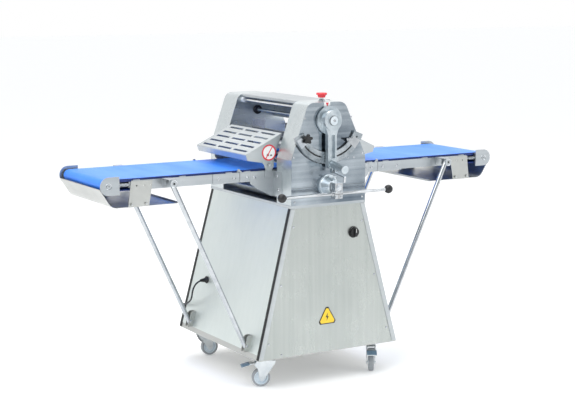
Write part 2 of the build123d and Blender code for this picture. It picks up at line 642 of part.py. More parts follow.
def make_fittings():
    solids = []
    x, y = ESTOP_XY
    solids.append(rod_z(x, y, 14, 1226, 1236) - rod_z(x, y, 8 + RUNNING_GAP, 1220, 1240))
    kx, kz = KNOB_XZ
    y_panel = -front_y(kz)
    solids.append(rod_y(kx, kz, 24, y_panel - 4, y_panel - 0.8) - rod_y(kx, kz, 5.2, y_panel - 6, y_panel + 2))
    for z in (203, 451, 698):
        for sx in (-1, 1):
            solids.append(rod_y(sx * (side_x(z) - 17), z, 6, -front_y(z) - 2.6, -front_y(z) - 0.4))
    y_front = -HOUSING_OUTER_Y
    for sx, z in ((-119, 1163), (119, 1163), (-172, 998), (172, 998), (-172, 806), (172, 806)):
        solids.append(rod_y(sx, z, 4.5, y_front - 1.6, y_front))
    tri_z, tri_x = 300, -9
    centre_y = -front_y(tri_z)
    corners = [(tri_x, tri_z + 40), (tri_x - 42, tri_z - 38), (tri_x + 42, tri_z - 38)]
    solids.append(plate_xz(corners, centre_y - 3, centre_y - 1.1))
    solids.append(plate_xz([(-24, 1226), (-24, 1208), (4, 1208), (4, 1226)], y_front - 1.2, y_front))
    gland_y, gland_z = CORD_GLAND
    wall_x = -side_x(gland_z)
    gland = rod_x(gland_y, gland_z, 14, wall_x - 11, wall_x - 4.2)
    gland += rod_x(gland_y, gland_z, 9, wall_x - 14, wall_x - 11)
    gland += rod_x(gland_y, gland_z, 8.5, wall_x - 4.2, wall_x + 14)
    solids.append(gland)
    return solids, (wall_x - 14, gland_y, gland_z)


def make_guards():
    y_side = 226
    path = [(-153, 1088), (-331, 1004), (-322, 978)]
    guard = sheet_xz(path, 2, -y_side, y_side, 3)
    length = math.dist(path[0], path[1])
    lean = math.degrees(math.atan2(path[0][1] - path[1][1], path[0][0] - path[1][0]))
    for row in range(5):
        along = (22 + 38 * row) / length
        cx = path[0][0] + along * (path[1][0] - path[0][0])
        cz = path[0][1] + along * (path[1][1] - path[0][1])
        for column in (-1, 0, 1):
            guard -= Pos(cx, 140 * column, cz) * Rot(0, -lean, 0) * Box(12, 116, 14)
    side = plate_xz([(-153, 1087), (-331, 1003), (-321, 978), (-252, 966), (-240, 954), (-196, 948),
                     (-192, 985)], y_side - 1, y_side + 1)
    side += rod_y(-217, 954, 24, y_side - 1, y_side + 1)
    side -= rod_y(-217, 954, 5 + RUNNING_GAP, y_side - 5, y_side + 5)
    disc = rod_y(-218, 1008, 35, y_side + 1, y_side + 2)
    guard += side + flip_y(side)
    save_pair("guard", [guard, flip_y(disc)])


# ---------------------------------------------------------------- struts and casters


def make_struts():
    (tx, tz), (fx, fz) = STRUT_TOP, STRUT_FOOT
    length = math.hypot(tx - fx, tz - fz)
    lean = math.degrees(math.atan2(tx - fx, tz - fz))
    tube = Cylinder(STRUT_R, length + STRUT_FOOT_REACH + 8, align=(Align.CENTER, Align.CENTER, Align.MIN))
    tube = Pos(0, 0, -STRUT_FOOT_REACH) * tube
    bore = Pos(0, 0, 40) * Cylinder(STRUT_R - 1.6, length - 90, align=(Align.CENTER, Align.CENTER, Align.MIN))
    slot = Pos(0, 0, length + 6) * Box(10.8, 30, 22.8)
    seat = Pos(0, 0, length) * Rot(90, 0, 0) * Cylinder(5.4, 30)
    strut = tube - bore - slot - seat - Rot(90, 0, 0) * Cylinder(4 + RUNNING_GAP, 30)
    strut += Pos(0, 0, length - 100) * Rot(90, 0, 0) * Cylinder(3, 25)
    front = Pos(-fx, -STRUT_Y, fz) * Rot(0, -lean, 0) * strut
    save_pair("struts", [front, flip_y(front)])


def make_clevises():
    fx, fz = STRUT_FOOT
    left = []
    ears = [(-side_x(158), 158), (-side_x(158) - 25, 158), (-side_x(222) - 25, 222)]
    ears += [(-side_x(228) - 20, 228), (-side_x(228), 228)]
    web = [(-side_x(158) - 0.1, 158), (-side_x(158) - 3, 158), (-side_x(228) - 3, 228), (-side_x(228) - 0.1, 228)]
    gap = STRUT_R + 1.0
    body = plate_xz(web, STRUT_Y - gap - 3, STRUT_Y + gap + 3)
    for y0 in (STRUT_Y - gap - 3, STRUT_Y + gap):
        body += plate_xz(ears, y0, y0 + 3)
    body += rod_y(-fx, fz, 4, STRUT_Y - gap - 5, STRUT_Y + gap + 5)
    body = body - tapered(0, 0)
    body = body.solids().sort_by(SortBy.VOLUME)[-1]
    left = [body, flip_y(body)]
    save("strut_clevises", *left, *[flip_x(s) for s in left])


def make_casters():
    def placed(shape, name):
        sx = -1 if name.endswith("left") else 1
        sy = -1 if name.startswith("front") else 1
        where = Pos(sx * CASTER_XY[0], sy * CASTER_XY[1], 0)
        return where * Rot(0, 0, CASTER_TURNS[name]) * shape

    top = HEAD_TOP_Z
    fork = rod_z(0, 0, 25, top - 8, top) + block(-33, 48, -20, 20, top - 6, top - 2)
    leg = [(-33, top - 2), (48, top - 2), (60, 100), (46, 82), (41, 62), (TRAIL + 10, WHEEL_R)]
    leg += [(TRAIL + 3, 28), (TRAIL - 8, 28), (-33, 107)]
    for sy in (-1, 1):
        fork += plate_xz(leg, sy * 17, sy * 20)
    fork -= rod_z(0, 0, 6 + RUNNING_GAP, top - 30, top + 10)
    fork += rod_y(TRAIL, WHEEL_R, 4, -23, 23)
    wheel = rod_y(TRAIL, WHEEL_R, WHEEL_R, -13, 13)
    wheel = fillet(wheel.edges().filter_by(GeomType.CIRCLE), 4)
    wheel -= rod_y(TRAIL, WHEEL_R, 4 + RUNNING_GAP, -20, 20)
    pedal = sheet_xz([(33, 104), (76, 104), (118, 92)], 3, -15, 15, 8)
    pedal += sheet_xz([(66, 104), (76, 104), (118, 92)], 3, -22, 22, 8)
    pedal += rod_y(36, 100, 3, -15, 15)
    for name in CASTER_TURNS:
        save(f"{name}_fork", placed(fork, name))
        save(f"{name}_wheel", placed(wheel, name))
    for name in ("front_left", "front_right"):
        save(f"{name}_brake", placed(pedal, name))


# ---------------------------------------------------------------- power cord


def make_cord(start):
    route = [Vector(*start)] + [Vector(*p) for p in CORD_ROUTE]
    radii = []
    for a, b, c in zip(route, route[1:], route[2:]):
        turn = (b - a).get_angle(c - b)
        shorter = min((b - a).length, (c - b).length)
        radii.append(0.45 * shorter / math.tan(math.radians(turn / 2)))
    path = FilletPolyline(*route, radius=radii)
    section = Plane(origin=path @ 0, z_dir=path % 0) * Circle(CORD_R)
    tube = sweep(section, path=path)
    print("cord radii", [round(r) for r in radii])
    print("cord volume ratio", tube.volume / (math.pi * CORD_R ** 2 * path.length))
    end = route[-1]
    left_over = CORD_LENGTH - path.length
    print("cord length on route", round(path.length), "in coil", round(left_over))
    save("power_cord", tube)
    inner, outer = COIL_MEAN_R - 2 * CORD_R, COIL_MEAN_R + 2 * CORD_R
    cx, cy = end.X + 20, end.Y + COIL_MEAN_R + CORD_R
    coil = rod_z(cx, cy, outer, 0, 4 * CORD_R) - rod_z(cx, cy, inner, -1, 40)
    for sy in (-1, 1):
        coil -= block(cx - 80, end.X, cy + sy * (inner + 2), cy + sy * 80, -1, 40)
    save("cord_coil", coil)
    tail_y = cy + COIL_MEAN_R + CORD_R
    plug = block(end.X - 64, end.X - 32, tail_y - 17, tail_y + 17, 0, 26)
    plug += rod_x(tail_y, 3 * CORD_R, 6, end.X - 32, end.X)
    for dy in (-7, 7):
        plug += block(end.X - 82, end.X - 64, tail_y + dy - 1, tail_y + dy + 1, 10, 16)
    save("power_plug", plug)


def main():
    make_base_tray()
    make_cabinet()
    make_housings()
    make_head_frame()
    make_bearing_blocks()
    make_motor()
    make_inner_frames()
    make_belts()
    make_table_frames()
    make_rollers()
    make_end_caps()
    make_catch_trays()
    make_carriage()
    make_thickness_lever()
    make_sector()
    make_stops()
    make_shift_lever()
    make_controls()
    fittings, cord_start = make_fittings()
    save("panel_fittings", *fittings)
    make_guards()
    make_struts()
    make_clevises()
    make_casters()
    make_cord(cord_start)


main()
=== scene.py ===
"""Dresses the dough sheeter: finishes for its frame, fine fittings, the power cord and the studio."""

import logging
import math
from dataclasses import dataclass, field
from enum import Enum
from typing import Sequence

import bmesh
import bpy
from mathutils import Matrix, Vector


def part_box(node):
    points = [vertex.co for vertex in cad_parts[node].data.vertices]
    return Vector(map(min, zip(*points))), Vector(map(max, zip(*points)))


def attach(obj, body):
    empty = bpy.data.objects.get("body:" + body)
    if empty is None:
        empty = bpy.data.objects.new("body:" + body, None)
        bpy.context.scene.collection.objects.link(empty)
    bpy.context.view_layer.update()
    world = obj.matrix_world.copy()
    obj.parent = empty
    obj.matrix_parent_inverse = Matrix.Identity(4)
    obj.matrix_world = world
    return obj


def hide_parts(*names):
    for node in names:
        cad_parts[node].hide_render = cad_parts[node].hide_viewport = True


LOG = logging.getLogger("dough_sheeter")
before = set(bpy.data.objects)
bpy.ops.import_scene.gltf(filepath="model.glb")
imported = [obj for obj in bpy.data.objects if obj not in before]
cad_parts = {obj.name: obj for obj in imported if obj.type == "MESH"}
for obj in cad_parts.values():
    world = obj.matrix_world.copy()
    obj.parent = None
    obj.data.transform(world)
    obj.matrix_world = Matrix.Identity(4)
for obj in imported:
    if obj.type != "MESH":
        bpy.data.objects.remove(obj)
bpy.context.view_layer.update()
Point = tuple[float, float, float]
Colour = tuple[float, float, float]
Profile = Sequence[tuple[float, float]]
Socket = bpy.types.NodeSocket
Work = bmesh.types.BMesh

WELD = 1e-6  # metres under which two vertices become one
SHARP = 32.0  # degrees past which an edge stays sharp
SIDES = (("left", -1), ("right", 1))
MATERIALS: dict[str, bpy.types.Material] = {}  # filled once from the book of finishes


def at(spot: Sequence[float]) -> Matrix:
    """Returns the shift to a spot."""
    return Matrix.Translation(spot)


def added(name: str, data: bpy.types.ID) -> bpy.types.Object:
    """Returns a new object that is in the scene."""
    thing = bpy.data.objects.new(name, data)
    bpy.context.scene.collection.objects.link(thing)
    return thing


def spun(angle: float, axis: str) -> Matrix:
    """Returns the turn by an angle in radians about X, Y or Z."""
    return Matrix.Rotation(angle, 4, axis)


class Facing(Enum):
    """The way that a fitting's face looks."""

    FRONT = (0.0, -1.0, 0.0)
    BACK = (0.0, 1.0, 0.0)
    LEFT = (-1.0, 0.0, 0.0)
    RIGHT = (1.0, 0.0, 0.0)

    def turn(self) -> Matrix:
        """Returns the rotation that takes +Z to this direction."""
        return Vector((0.0, 0.0, 1.0)).rotation_difference(Vector(self.value)).to_matrix().to_4x4()


FLANKS = ((-1, Facing.FRONT), (1, Facing.BACK))


def on(spot: Point, facing: Facing) -> Matrix:
    """Returns the place at a spot with local +Z turned to a direction."""
    return at(spot) @ facing.turn()


class Head(Enum):
    """The kinds of screw head on the machine."""

    DOME = "dome"
    CROSS = "cross"
    HEX = "hex"
    SOCKET = "socket"


# ---------------------------------------------------------------- finishes


class Shader:
    """Lays out one material's nodes."""

    def __init__(self, name: str) -> None:
        """Starts an empty material."""
        self.material = bpy.data.materials.new(name)
        self.material.use_nodes = True
        self.tree = self.material.node_tree
        self.tree.nodes.clear()
        self.out = self.node("OutputMaterial")
        self.surface = self.node("BsdfPrincipled")
        self.wire(self.surface.outputs[0], self.out.inputs[0])

    def node(self, kind: str, **inputs: object) -> bpy.types.Node:
        """Adds a node and sets inputs by name; underscores stand for spaces."""
        node = self.tree.nodes.new("ShaderNode" + kind)
        for key, value in inputs.items():
            node.inputs[key.replace("_", " ")].default_value = value
        return node

    def wire(self, source: Socket, target: Socket) -> None:
        """Links two sockets."""
        self.tree.links.new(source, target)

    def set(self, **values: object) -> None:
        """Sets constant values on the surface's own sockets; underscores stand for spaces."""
        for key, value in values.items():
            self.surface.inputs[key.replace("_", " ")].default_value = value

    def tint(self, pattern: Socket, light: object, dark: object, lo_in: float = 0.3, hi_in: float = 0.7) -> None:
        """Colours the surface between two tones by a pattern."""
        self.link(self.blend(self.spread(pattern, 0.0, 1.0, lo_in, hi_in), light, dark), "Base Color")

    def link(self, source: Socket, target: str) -> None:
        """Links a socket to one of the surface's inputs."""
        self.wire(source, self.surface.inputs[target])

    def coords(self, scale: Point = (1, 1, 1), shift: Point = (0, 0, 0)) -> Socket:
        """Makes object coordinates with a scale and a shift."""
        source = self.node("TexCoord")
        mapping = self.node("Mapping", Scale=scale, Location=shift)
        self.wire(source.outputs["Object"], mapping.inputs["Vector"])
        return mapping.outputs[0]

    def noise(self, vector: Socket, scale: float, detail: float = 4.0, rough: float = 0.55) -> Socket:
        """Makes a noise pattern."""
        node = self.node("TexNoise", Scale=scale, Detail=detail, Roughness=rough)
        self.wire(vector, node.inputs["Vector"])
        return node.outputs[0]

    def math(self, kind: str, a: object, b: object = 0.0, c: object = 0.0) -> Socket:
        """Makes a Math node from sockets or numbers and returns its output."""
        node = self.node("Math")
        node.operation = kind
        for i, value in enumerate((a, b, c)):
            if isinstance(value, Socket):
                self.wire(value, node.inputs[i])
            else:
                node.inputs[i].default_value = value
        return node.outputs[0]

    def spread(self, value: Socket, low: float, high: float, lo_in: float = 0.3, hi_in: float = 0.7) -> Socket:
        """Maps a pattern's value range to another range, clamped, and returns the socket."""
        node = self.node("MapRange", From_Min=lo_in, From_Max=hi_in, To_Min=low, To_Max=high)
        self.wire(value, node.inputs["Value"])
        return node.outputs[0]

    def blend(self, factor: Socket, a: object, b: object) -> Socket:
        """Mixes two colours, each a socket or three numbers, and returns the colour socket."""
        node = self.node("Mix")
        node.data_type = "RGBA"
        self.wire(factor, node.inputs[0])
        for slot, value in ((6, a), (7, b)):
            if isinstance(value, Socket):
                self.wire(value, node.inputs[slot])
            else:
                node.inputs[slot].default_value = (*value, 1.0)
        return node.outputs[2]

    def bump(self, height: Socket, strength: float, distance: float) -> None:
        """Gives the surface a relief from a height pattern."""
        node = self.node("Bump", Strength=strength, Distance=distance)
        self.wire(height, node.inputs["Height"])
        self.link(node.outputs[0], "Normal")

    def part(self, axis: str) -> Socket:
        """Returns one object coordinate, X, Y or Z."""
        node = self.node("SeparateXYZ")
        self.wire(self.coords(), node.inputs[0])
        return node.outputs[axis]

    def facing(self, axis: str) -> Socket:
        """Returns how far the surface faces along an axis, from 0 to 1, in world space."""
        geometry = self.node("NewGeometry")
        node = self.node("SeparateXYZ")
        self.wire(geometry.outputs["Normal"], node.inputs[0])
        return self.math("ABSOLUTE", node.outputs[axis])


@dataclass(frozen=True)
class Steel:
    """Brushed or polished stainless sheet: tint, darker tint, gloss, brush direction and cloudiness."""

    name: str
    light: Colour
    dark: Colour
    gloss: float = 0.3
    brush: Point = (500.0, 500.0, 5.0)
    cloud: float = 1.4
    depth: float = 0.00004
    metal: float = 1.0

    def make(self) -> bpy.types.Material:
        """Returns the material, with brush lines, soft clouds and smudges in its gloss."""
        s = Shader(self.name)
        lines = s.noise(s.coords(self.brush), 1.0, 3.0, 0.6)
        streaks = s.noise(s.coords(tuple(v * 0.12 for v in self.brush)), 1.0, 2.0, 0.5)
        clouds = s.noise(s.coords(shift=(3.1, 1.7, 0.4)), self.cloud, 3.0, 0.5)
        smudge = s.noise(s.coords(), 9.0, 5.0, 0.62)
        cloudy = s.math("MULTIPLY", s.spread(clouds, 0.0, 1.0), 0.65)
        mix = s.math("MULTIPLY_ADD", s.spread(streaks, 0.0, 1.0), 0.35, cloudy)
        s.link(s.blend(mix, self.light, self.dark), "Base Color")
        smudged = s.spread(smudge, self.gloss - 0.05, self.gloss + 0.07)
        rough = s.math("MULTIPLY_ADD", s.spread(lines, -0.5, 0.5), 0.1, smudged)
        s.link(rough, "Roughness")
        s.set(Metallic=self.metal)
        s.bump(lines, 0.25, self.depth)
        return s.material


@dataclass(frozen=True)
class Cast:
    """Cast or machined aluminium with a fine pitted skin."""

    name: str
    light: Colour
    dark: Colour
    gloss: float = 0.34
    grain: float = 420.0
    depth: float = 0.00012

    def make(self) -> bpy.types.Material:
        """Returns the material, with a sandy grain in its gloss and relief and a cloudy darker tone."""
        s = Shader(self.name)
        grain = s.noise(s.coords(), self.grain, 4.0, 0.6)
        cloud = s.noise(s.coords(), 17.0, 4.0, 0.6)
        s.tint(cloud, self.light, self.dark)
        s.link(s.spread(grain, self.gloss - 0.06, self.gloss + 0.12), "Roughness")
        s.set(Metallic=1.0)
        s.bump(grain, 0.3, self.depth)
        return s.material


@dataclass(frozen=True)
class Chrome:
    """Bright plated tube and bar, with a faint cloudy film and fine pits."""

    name: str
    tint: Colour = (0.58, 0.60, 0.62)
    shade: Colour = (0.42, 0.445, 0.47)
    gloss: float = 0.1

    def make(self) -> bpy.types.Material:
        """Returns the material."""
        s = Shader(self.name)
        film = s.noise(s.coords(), 26.0, 4.0, 0.6)
        pits = s.noise(s.coords(), 300.0, 2.0, 0.5)
        s.tint(film, self.tint, self.shade)
        s.link(s.spread(film, self.gloss, self.gloss + 0.08), "Roughness")
        s.set(Metallic=1.0)
        s.bump(pits, 0.08, 0.00002)
        return s.material


@dataclass(frozen=True)
class Moulded:
    """Moulded plastic, enamel or rubber: a matt or glossy skin with fine grain and scuffs."""

    name: str
    colour: Colour
    worn: Colour
    gloss: float = 0.42
    grain: float = 900.0
    depth: float = 0.00003
    coat: float = 0.0

    def make(self) -> bpy.types.Material:
        """Returns the material."""
        s = Shader(self.name)
        grain = s.noise(s.coords(), self.grain, 3.0, 0.6)
        scuff = s.noise(s.coords(), 38.0, 5.0, 0.65)
        s.tint(scuff, self.colour, self.worn, 0.5, 0.78)
        s.link(s.spread(grain, self.gloss - 0.05, self.gloss + 0.08), "Roughness")
        s.set(Coat_Weight=self.coat, Coat_Roughness=0.12)
        s.bump(grain, 0.3, self.depth)
        return s.material


@dataclass(frozen=True)
class BeltCloth:
    """The blue conveyor belt: glossy top skin with a faint weave, navy cut edges."""

    name: str
    face: Colour
    deep: Colour
    edge: Colour

    def make(self) -> bpy.types.Material:
        """Returns the material."""
        s = Shader(self.name)
        waves = []
        for bands in "XY":
            wave = s.node("TexWave", Scale=260.0)
            wave.bands_direction = bands
            s.wire(s.coords(), wave.inputs["Vector"])
            waves.append(wave.outputs[1])
        weave = s.math("MULTIPLY", *waves)
        flour = s.noise(s.coords((1.0, 0.3, 1.0)), 7.0, 5.0, 0.6)
        skin = s.blend(s.spread(flour, 0.0, 1.0), self.face, self.deep)
        cut = s.spread(s.facing("Y"), 0.0, 1.0, 0.6, 0.9)
        s.link(s.blend(cut, skin, self.edge), "Base Color")
        s.link(s.spread(flour, 0.34, 0.46), "Roughness")
        s.set(Coat_Weight=0.08, Coat_Roughness=0.3, Specular_IOR_Level=0.3)
        s.bump(weave, 0.12, 0.00005)
        return s.material


@dataclass(frozen=True)
class TwoTone:
    """A node of two finishes that change at a distance from a middle plane, such as bars with caps."""

    name: str
    axis: str
    middle: float
    reach: float
    inside: Colour
    outside: Colour
    inside_metal: float = 1.0
    inside_gloss: float = 0.12
    outside_gloss: float = 0.35

    def make(self) -> bpy.types.Material:
        """Returns the material."""
        s = Shader(self.name)
        away = s.math("ABSOLUTE", s.math("SUBTRACT", s.part(self.axis), self.middle))
        mask = s.math("GREATER_THAN", away, self.reach)
        film = s.noise(s.coords(), 30.0, 4.0, 0.6)
        inner = s.blend(s.spread(film, 0.0, 1.0), self.inside, tuple(v * 0.82 for v in self.inside))
        outer = s.blend(s.spread(film, 0.0, 1.0), self.outside, tuple(v * 0.85 for v in self.outside))
        s.link(s.blend(mask, inner, outer), "Base Color")
        s.link(s.math("MULTIPLY_ADD", mask, -self.inside_metal, self.inside_metal), "Metallic")
        span = self.outside_gloss - self.inside_gloss
        base = s.spread(film, self.inside_gloss, self.inside_gloss + 0.06)
        s.link(s.math("MULTIPLY_ADD", mask, span, base), "Roughness")
        s.bump(s.noise(s.coords(), 500.0, 2.0, 0.5), 0.1, 0.00003)
        return s.material


class Finishes:
    """The book of all finishes."""

    BOOK = (
        Steel("side_sheet", (0.68, 0.73, 0.715), (0.62, 0.675, 0.66), 0.42, (420.0, 420.0, 4.0), 0.9, 0.00002,
              metal=0.8),
        Steel("front_sheet", (0.50, 0.525, 0.505), (0.38, 0.41, 0.395), 0.30, (480.0, 480.0, 3.0), 1.6, metal=0.9),
        Steel("housing_sheet", (0.50, 0.555, 0.60), (0.075, 0.105, 0.14), 0.17, (6.0, 500.0, 420.0), 5.0, 0.00001),
        Steel("housing_skin", (0.68, 0.725, 0.735), (0.52, 0.57, 0.59), 0.30, (6.0, 420.0, 420.0), 2.5),
        Steel("frame_sheet", (0.52, 0.55, 0.57), (0.38, 0.415, 0.44), 0.33, (8.0, 420.0, 420.0), 3.0, metal=0.9),
        Steel("guard_sheet", (0.54, 0.57, 0.58), (0.45, 0.48, 0.495), 0.42, (10.0, 420.0, 300.0), 3.0, metal=0.75),
        Steel("tray_sheet", (0.53, 0.54, 0.52), (0.42, 0.43, 0.42), 0.36, (260.0, 6.0, 260.0), 3.0, metal=0.85),
        Steel("dark_sheet", (0.30, 0.31, 0.32), (0.20, 0.21, 0.22), 0.40, (260.0, 6.0, 260.0), 3.0, metal=0.85),
        Cast("cast_metal", (0.62, 0.67, 0.70), (0.34, 0.40, 0.44), 0.30, 300.0),
        Cast("turned_metal", (0.70, 0.73, 0.76), (0.46, 0.50, 0.54), 0.24, 700.0, 0.00002),
        Cast("zinc", (0.72, 0.75, 0.76), (0.55, 0.59, 0.62), 0.34, 500.0, 0.00005),
        Cast("sector_steel", (0.50, 0.54, 0.57), (0.20, 0.235, 0.26), 0.26, 160.0, 0.00002),
        Cast("white_metal", (0.80, 0.85, 0.88), (0.56, 0.63, 0.68), 0.30, 260.0, 0.00004),
        Chrome("bright_chrome"),
        Chrome("roll_chrome", (0.78, 0.80, 0.82), (0.60, 0.62, 0.64), 0.18),
        Moulded("black_plastic", (0.008, 0.009, 0.010), (0.03, 0.03, 0.033), 0.46, 800.0, 0.00004, 0.05),
        Moulded("seal_rubber", (0.010, 0.011, 0.012), (0.03, 0.03, 0.03), 0.6, 600.0),
        Moulded("cord_rubber", (0.012, 0.016, 0.022), (0.035, 0.04, 0.045), 0.45, 700.0),
        Moulded("red_cap", (0.80, 0.045, 0.055), (0.86, 0.09, 0.09), 0.28, 500.0, 0.00002, 0.4),
        Moulded("white_nylon", (0.82, 0.84, 0.85), (0.72, 0.74, 0.75), 0.38, 400.0),
        Moulded("label_white", (0.88, 0.88, 0.87), (0.80, 0.80, 0.79), 0.42, 300.0, 0.00001),
        Moulded("label_red", (0.72, 0.03, 0.05), (0.60, 0.03, 0.05), 0.40, 300.0, 0.00001),
        # Black for print and marks, and also painted shade in the gauge's slots and on cross screw heads.
        Moulded("black_marks_and_shade", (0.02, 0.02, 0.02), (0.05, 0.05, 0.05), 0.42, 300.0, 0.00001),
        Moulded("plaque_yellow", (0.92, 0.62, 0.02), (0.86, 0.55, 0.02), 0.36, 300.0, 0.00001, 0.3),
        Moulded("tyre_grey", (0.30, 0.32, 0.34), (0.40, 0.42, 0.44), 0.55, 500.0, 0.00006),
        Moulded("hub_plastic", (0.66, 0.74, 0.80), (0.52, 0.62, 0.70), 0.35, 400.0),
        Moulded("pedal_tip", (0.10, 0.17, 0.24), (0.20, 0.28, 0.34), 0.40, 400.0),
        Moulded("motor_enamel", (0.10, 0.13, 0.16), (0.18, 0.21, 0.24), 0.38, 300.0, 0.00008, 0.2),
        BeltCloth("belt_skin", (0.045, 0.27, 0.93), (0.03, 0.20, 0.84), (0.008, 0.025, 0.16)),
        Moulded("belt_navy", (0.008, 0.028, 0.17), (0.016, 0.05, 0.26), 0.5, 500.0),
        TwoTone("bars_and_caps", "Y", 0.0, 0.2289, (0.74, 0.76, 0.78), (0.80, 0.83, 0.85)),
        TwoTone("cross_bar", "X", -0.006, 0.2505, (0.56, 0.58, 0.60), (0.012, 0.012, 0.014)),
        TwoTone("mushroom", "Z", 1.2, 0.0412, (0.7, 0.72, 0.74), (0.82, 0.045, 0.06), outside_gloss=0.25),
    )

    def make(self) -> None:
        """Makes every material in the book."""
        for entry in self.BOOK:
            MATERIALS[entry.name] = entry.make()


# ---------------------------------------------------------------- mesh making


def turned(work: Work, profile: Profile, place: Matrix, steps: int = 32, material: int = 0) -> None:
    """Spins a profile of (radius, height) about the local Z axis."""
    local = bmesh.new()
    chain = [local.verts.new((radius, 0.0, height)) for radius, height in profile]
    edges = [local.edges.new(pair) for pair in zip(chain, chain[1:])]
    bmesh.ops.spin(local, geom=chain + edges, cent=(0, 0, 0), axis=(0, 0, 1), dvec=(0, 0, 0),
                   angle=math.tau, steps=steps, use_merge=True)
    bmesh.ops.remove_doubles(local, verts=local.verts, dist=WELD)
    merge(work, local, place, material)


def round_off(work: Work, edges: list[bmesh.types.BMEdge], radius: float) -> None:
    """Rounds edges of a bmesh, unless the radius is zero."""
    if radius:
        bmesh.ops.bevel(work, geom=edges, offset=radius, offset_type="OFFSET", segments=2, profile=0.5,
                        affect="EDGES", material=-1)


def slab(work: Work, size: Point, place: Matrix, bevel: float = 0.0, material: int = 0) -> None:
    """Adds a block with rounded edges."""
    local = bmesh.new()
    bmesh.ops.create_cube(local, size=1.0, matrix=Matrix.Diagonal((*size, 1.0)))
    round_off(local, local.edges[:], bevel)
    merge(work, local, place, material)


def plate(work: Work, outline: Profile, thickness: float, place: Matrix, bevel: float = 0.0,
          material: int = 0) -> None:
    """Adds a flat plate from an outline in local X and Y, its top at the given thickness."""
    local = bmesh.new()
    base = local.faces.new([local.verts.new((x, y, 0.0)) for x, y in outline])
    grown = bmesh.ops.extrude_face_region(local, geom=[base])
    top = [item for item in grown["geom"] if isinstance(item, bmesh.types.BMVert)]
    bmesh.ops.translate(local, verts=top, vec=(0, 0, thickness))
    round_off(local, local.edges[:], bevel)
    merge(work, local, place, material)


def merge(work: Work, local: Work, place: Matrix, material: int) -> None:
    """Moves one bmesh's shapes into another, in place."""
    for face in local.faces:
        face.material_index = material
    bmesh.ops.transform(local, matrix=place, verts=local.verts)
    mesh = bpy.data.meshes.new("local")
    local.to_mesh(mesh)
    local.free()
    work.from_mesh(mesh)
    bpy.data.meshes.remove(mesh)


def screw(work: Work, centre: Point, facing: Facing, radius: float, kind: Head, material: int = 0) -> None:
    """Adds a screw head that stands on a face."""
    place = on(centre, facing)
    r = radius
    if kind is Head.HEX:
        washer = [(0, 0.0), (r * 1.3, 0.0), (r * 1.3, 0.0012), (r * 0.9, 0.0014), (0, 0.0014)]
        turned(work, washer, place, 24, material)
        turned(work, [(0, 0.001), (r, 0.001), (r, r * 0.62), (r * 0.88, r * 0.7), (0, r * 0.7)], place, 6, material)
        return
    if kind is Head.SOCKET:
        profile = [(0, 0), (r, 0), (r, r * 0.75), (r * 0.92, r * 0.85), (r * 0.55, r * 0.85), (r * 0.5, r * 0.4),
                   (0, r * 0.4)]
        turned(work, profile, place, 20, material)
        return
    profile = [(0, 0), (r, 0), (r * 0.97, r * 0.22), (r * 0.8, r * 0.42), (r * 0.5, r * 0.54), (0, r * 0.58)]
    turned(work, profile, place, 20, material)
    if kind is Head.CROSS:
        # The cross recess is not cut: a raised black cross stands on the dome as painted shade for it.
        for angle in (45.0, 135.0):
            turn = place @ spun(math.radians(angle), "Z") @ at((0, 0, r * 0.55))
            slab(work, (r * 1.0, r * 0.16, r * 0.1), turn, 0.0, material + 1)


def put(work: Work, name: str, body: str, finishes: Sequence[str]) -> bpy.types.Object:
    """Makes an object from a bmesh."""
    bmesh.ops.remove_doubles(work, verts=work.verts, dist=WELD)
    bmesh.ops.recalc_face_normals(work, faces=work.faces)
    for face in work.faces:
        face.smooth = True
    for edge in work.edges:
        edge.smooth = edge.calc_face_angle(0.0) < math.radians(SHARP)
    mesh = bpy.data.meshes.new(name)
    work.to_mesh(mesh)
    work.free()
    piece = added(name, mesh)
    for finish in finishes:
        mesh.materials.append(MATERIALS[finish])
    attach(piece, body)
    LOG.info("%s rides on %s, %d faces", name, body, len(mesh.polygons))
    return piece


# ---------------------------------------------------------------- studio and cord


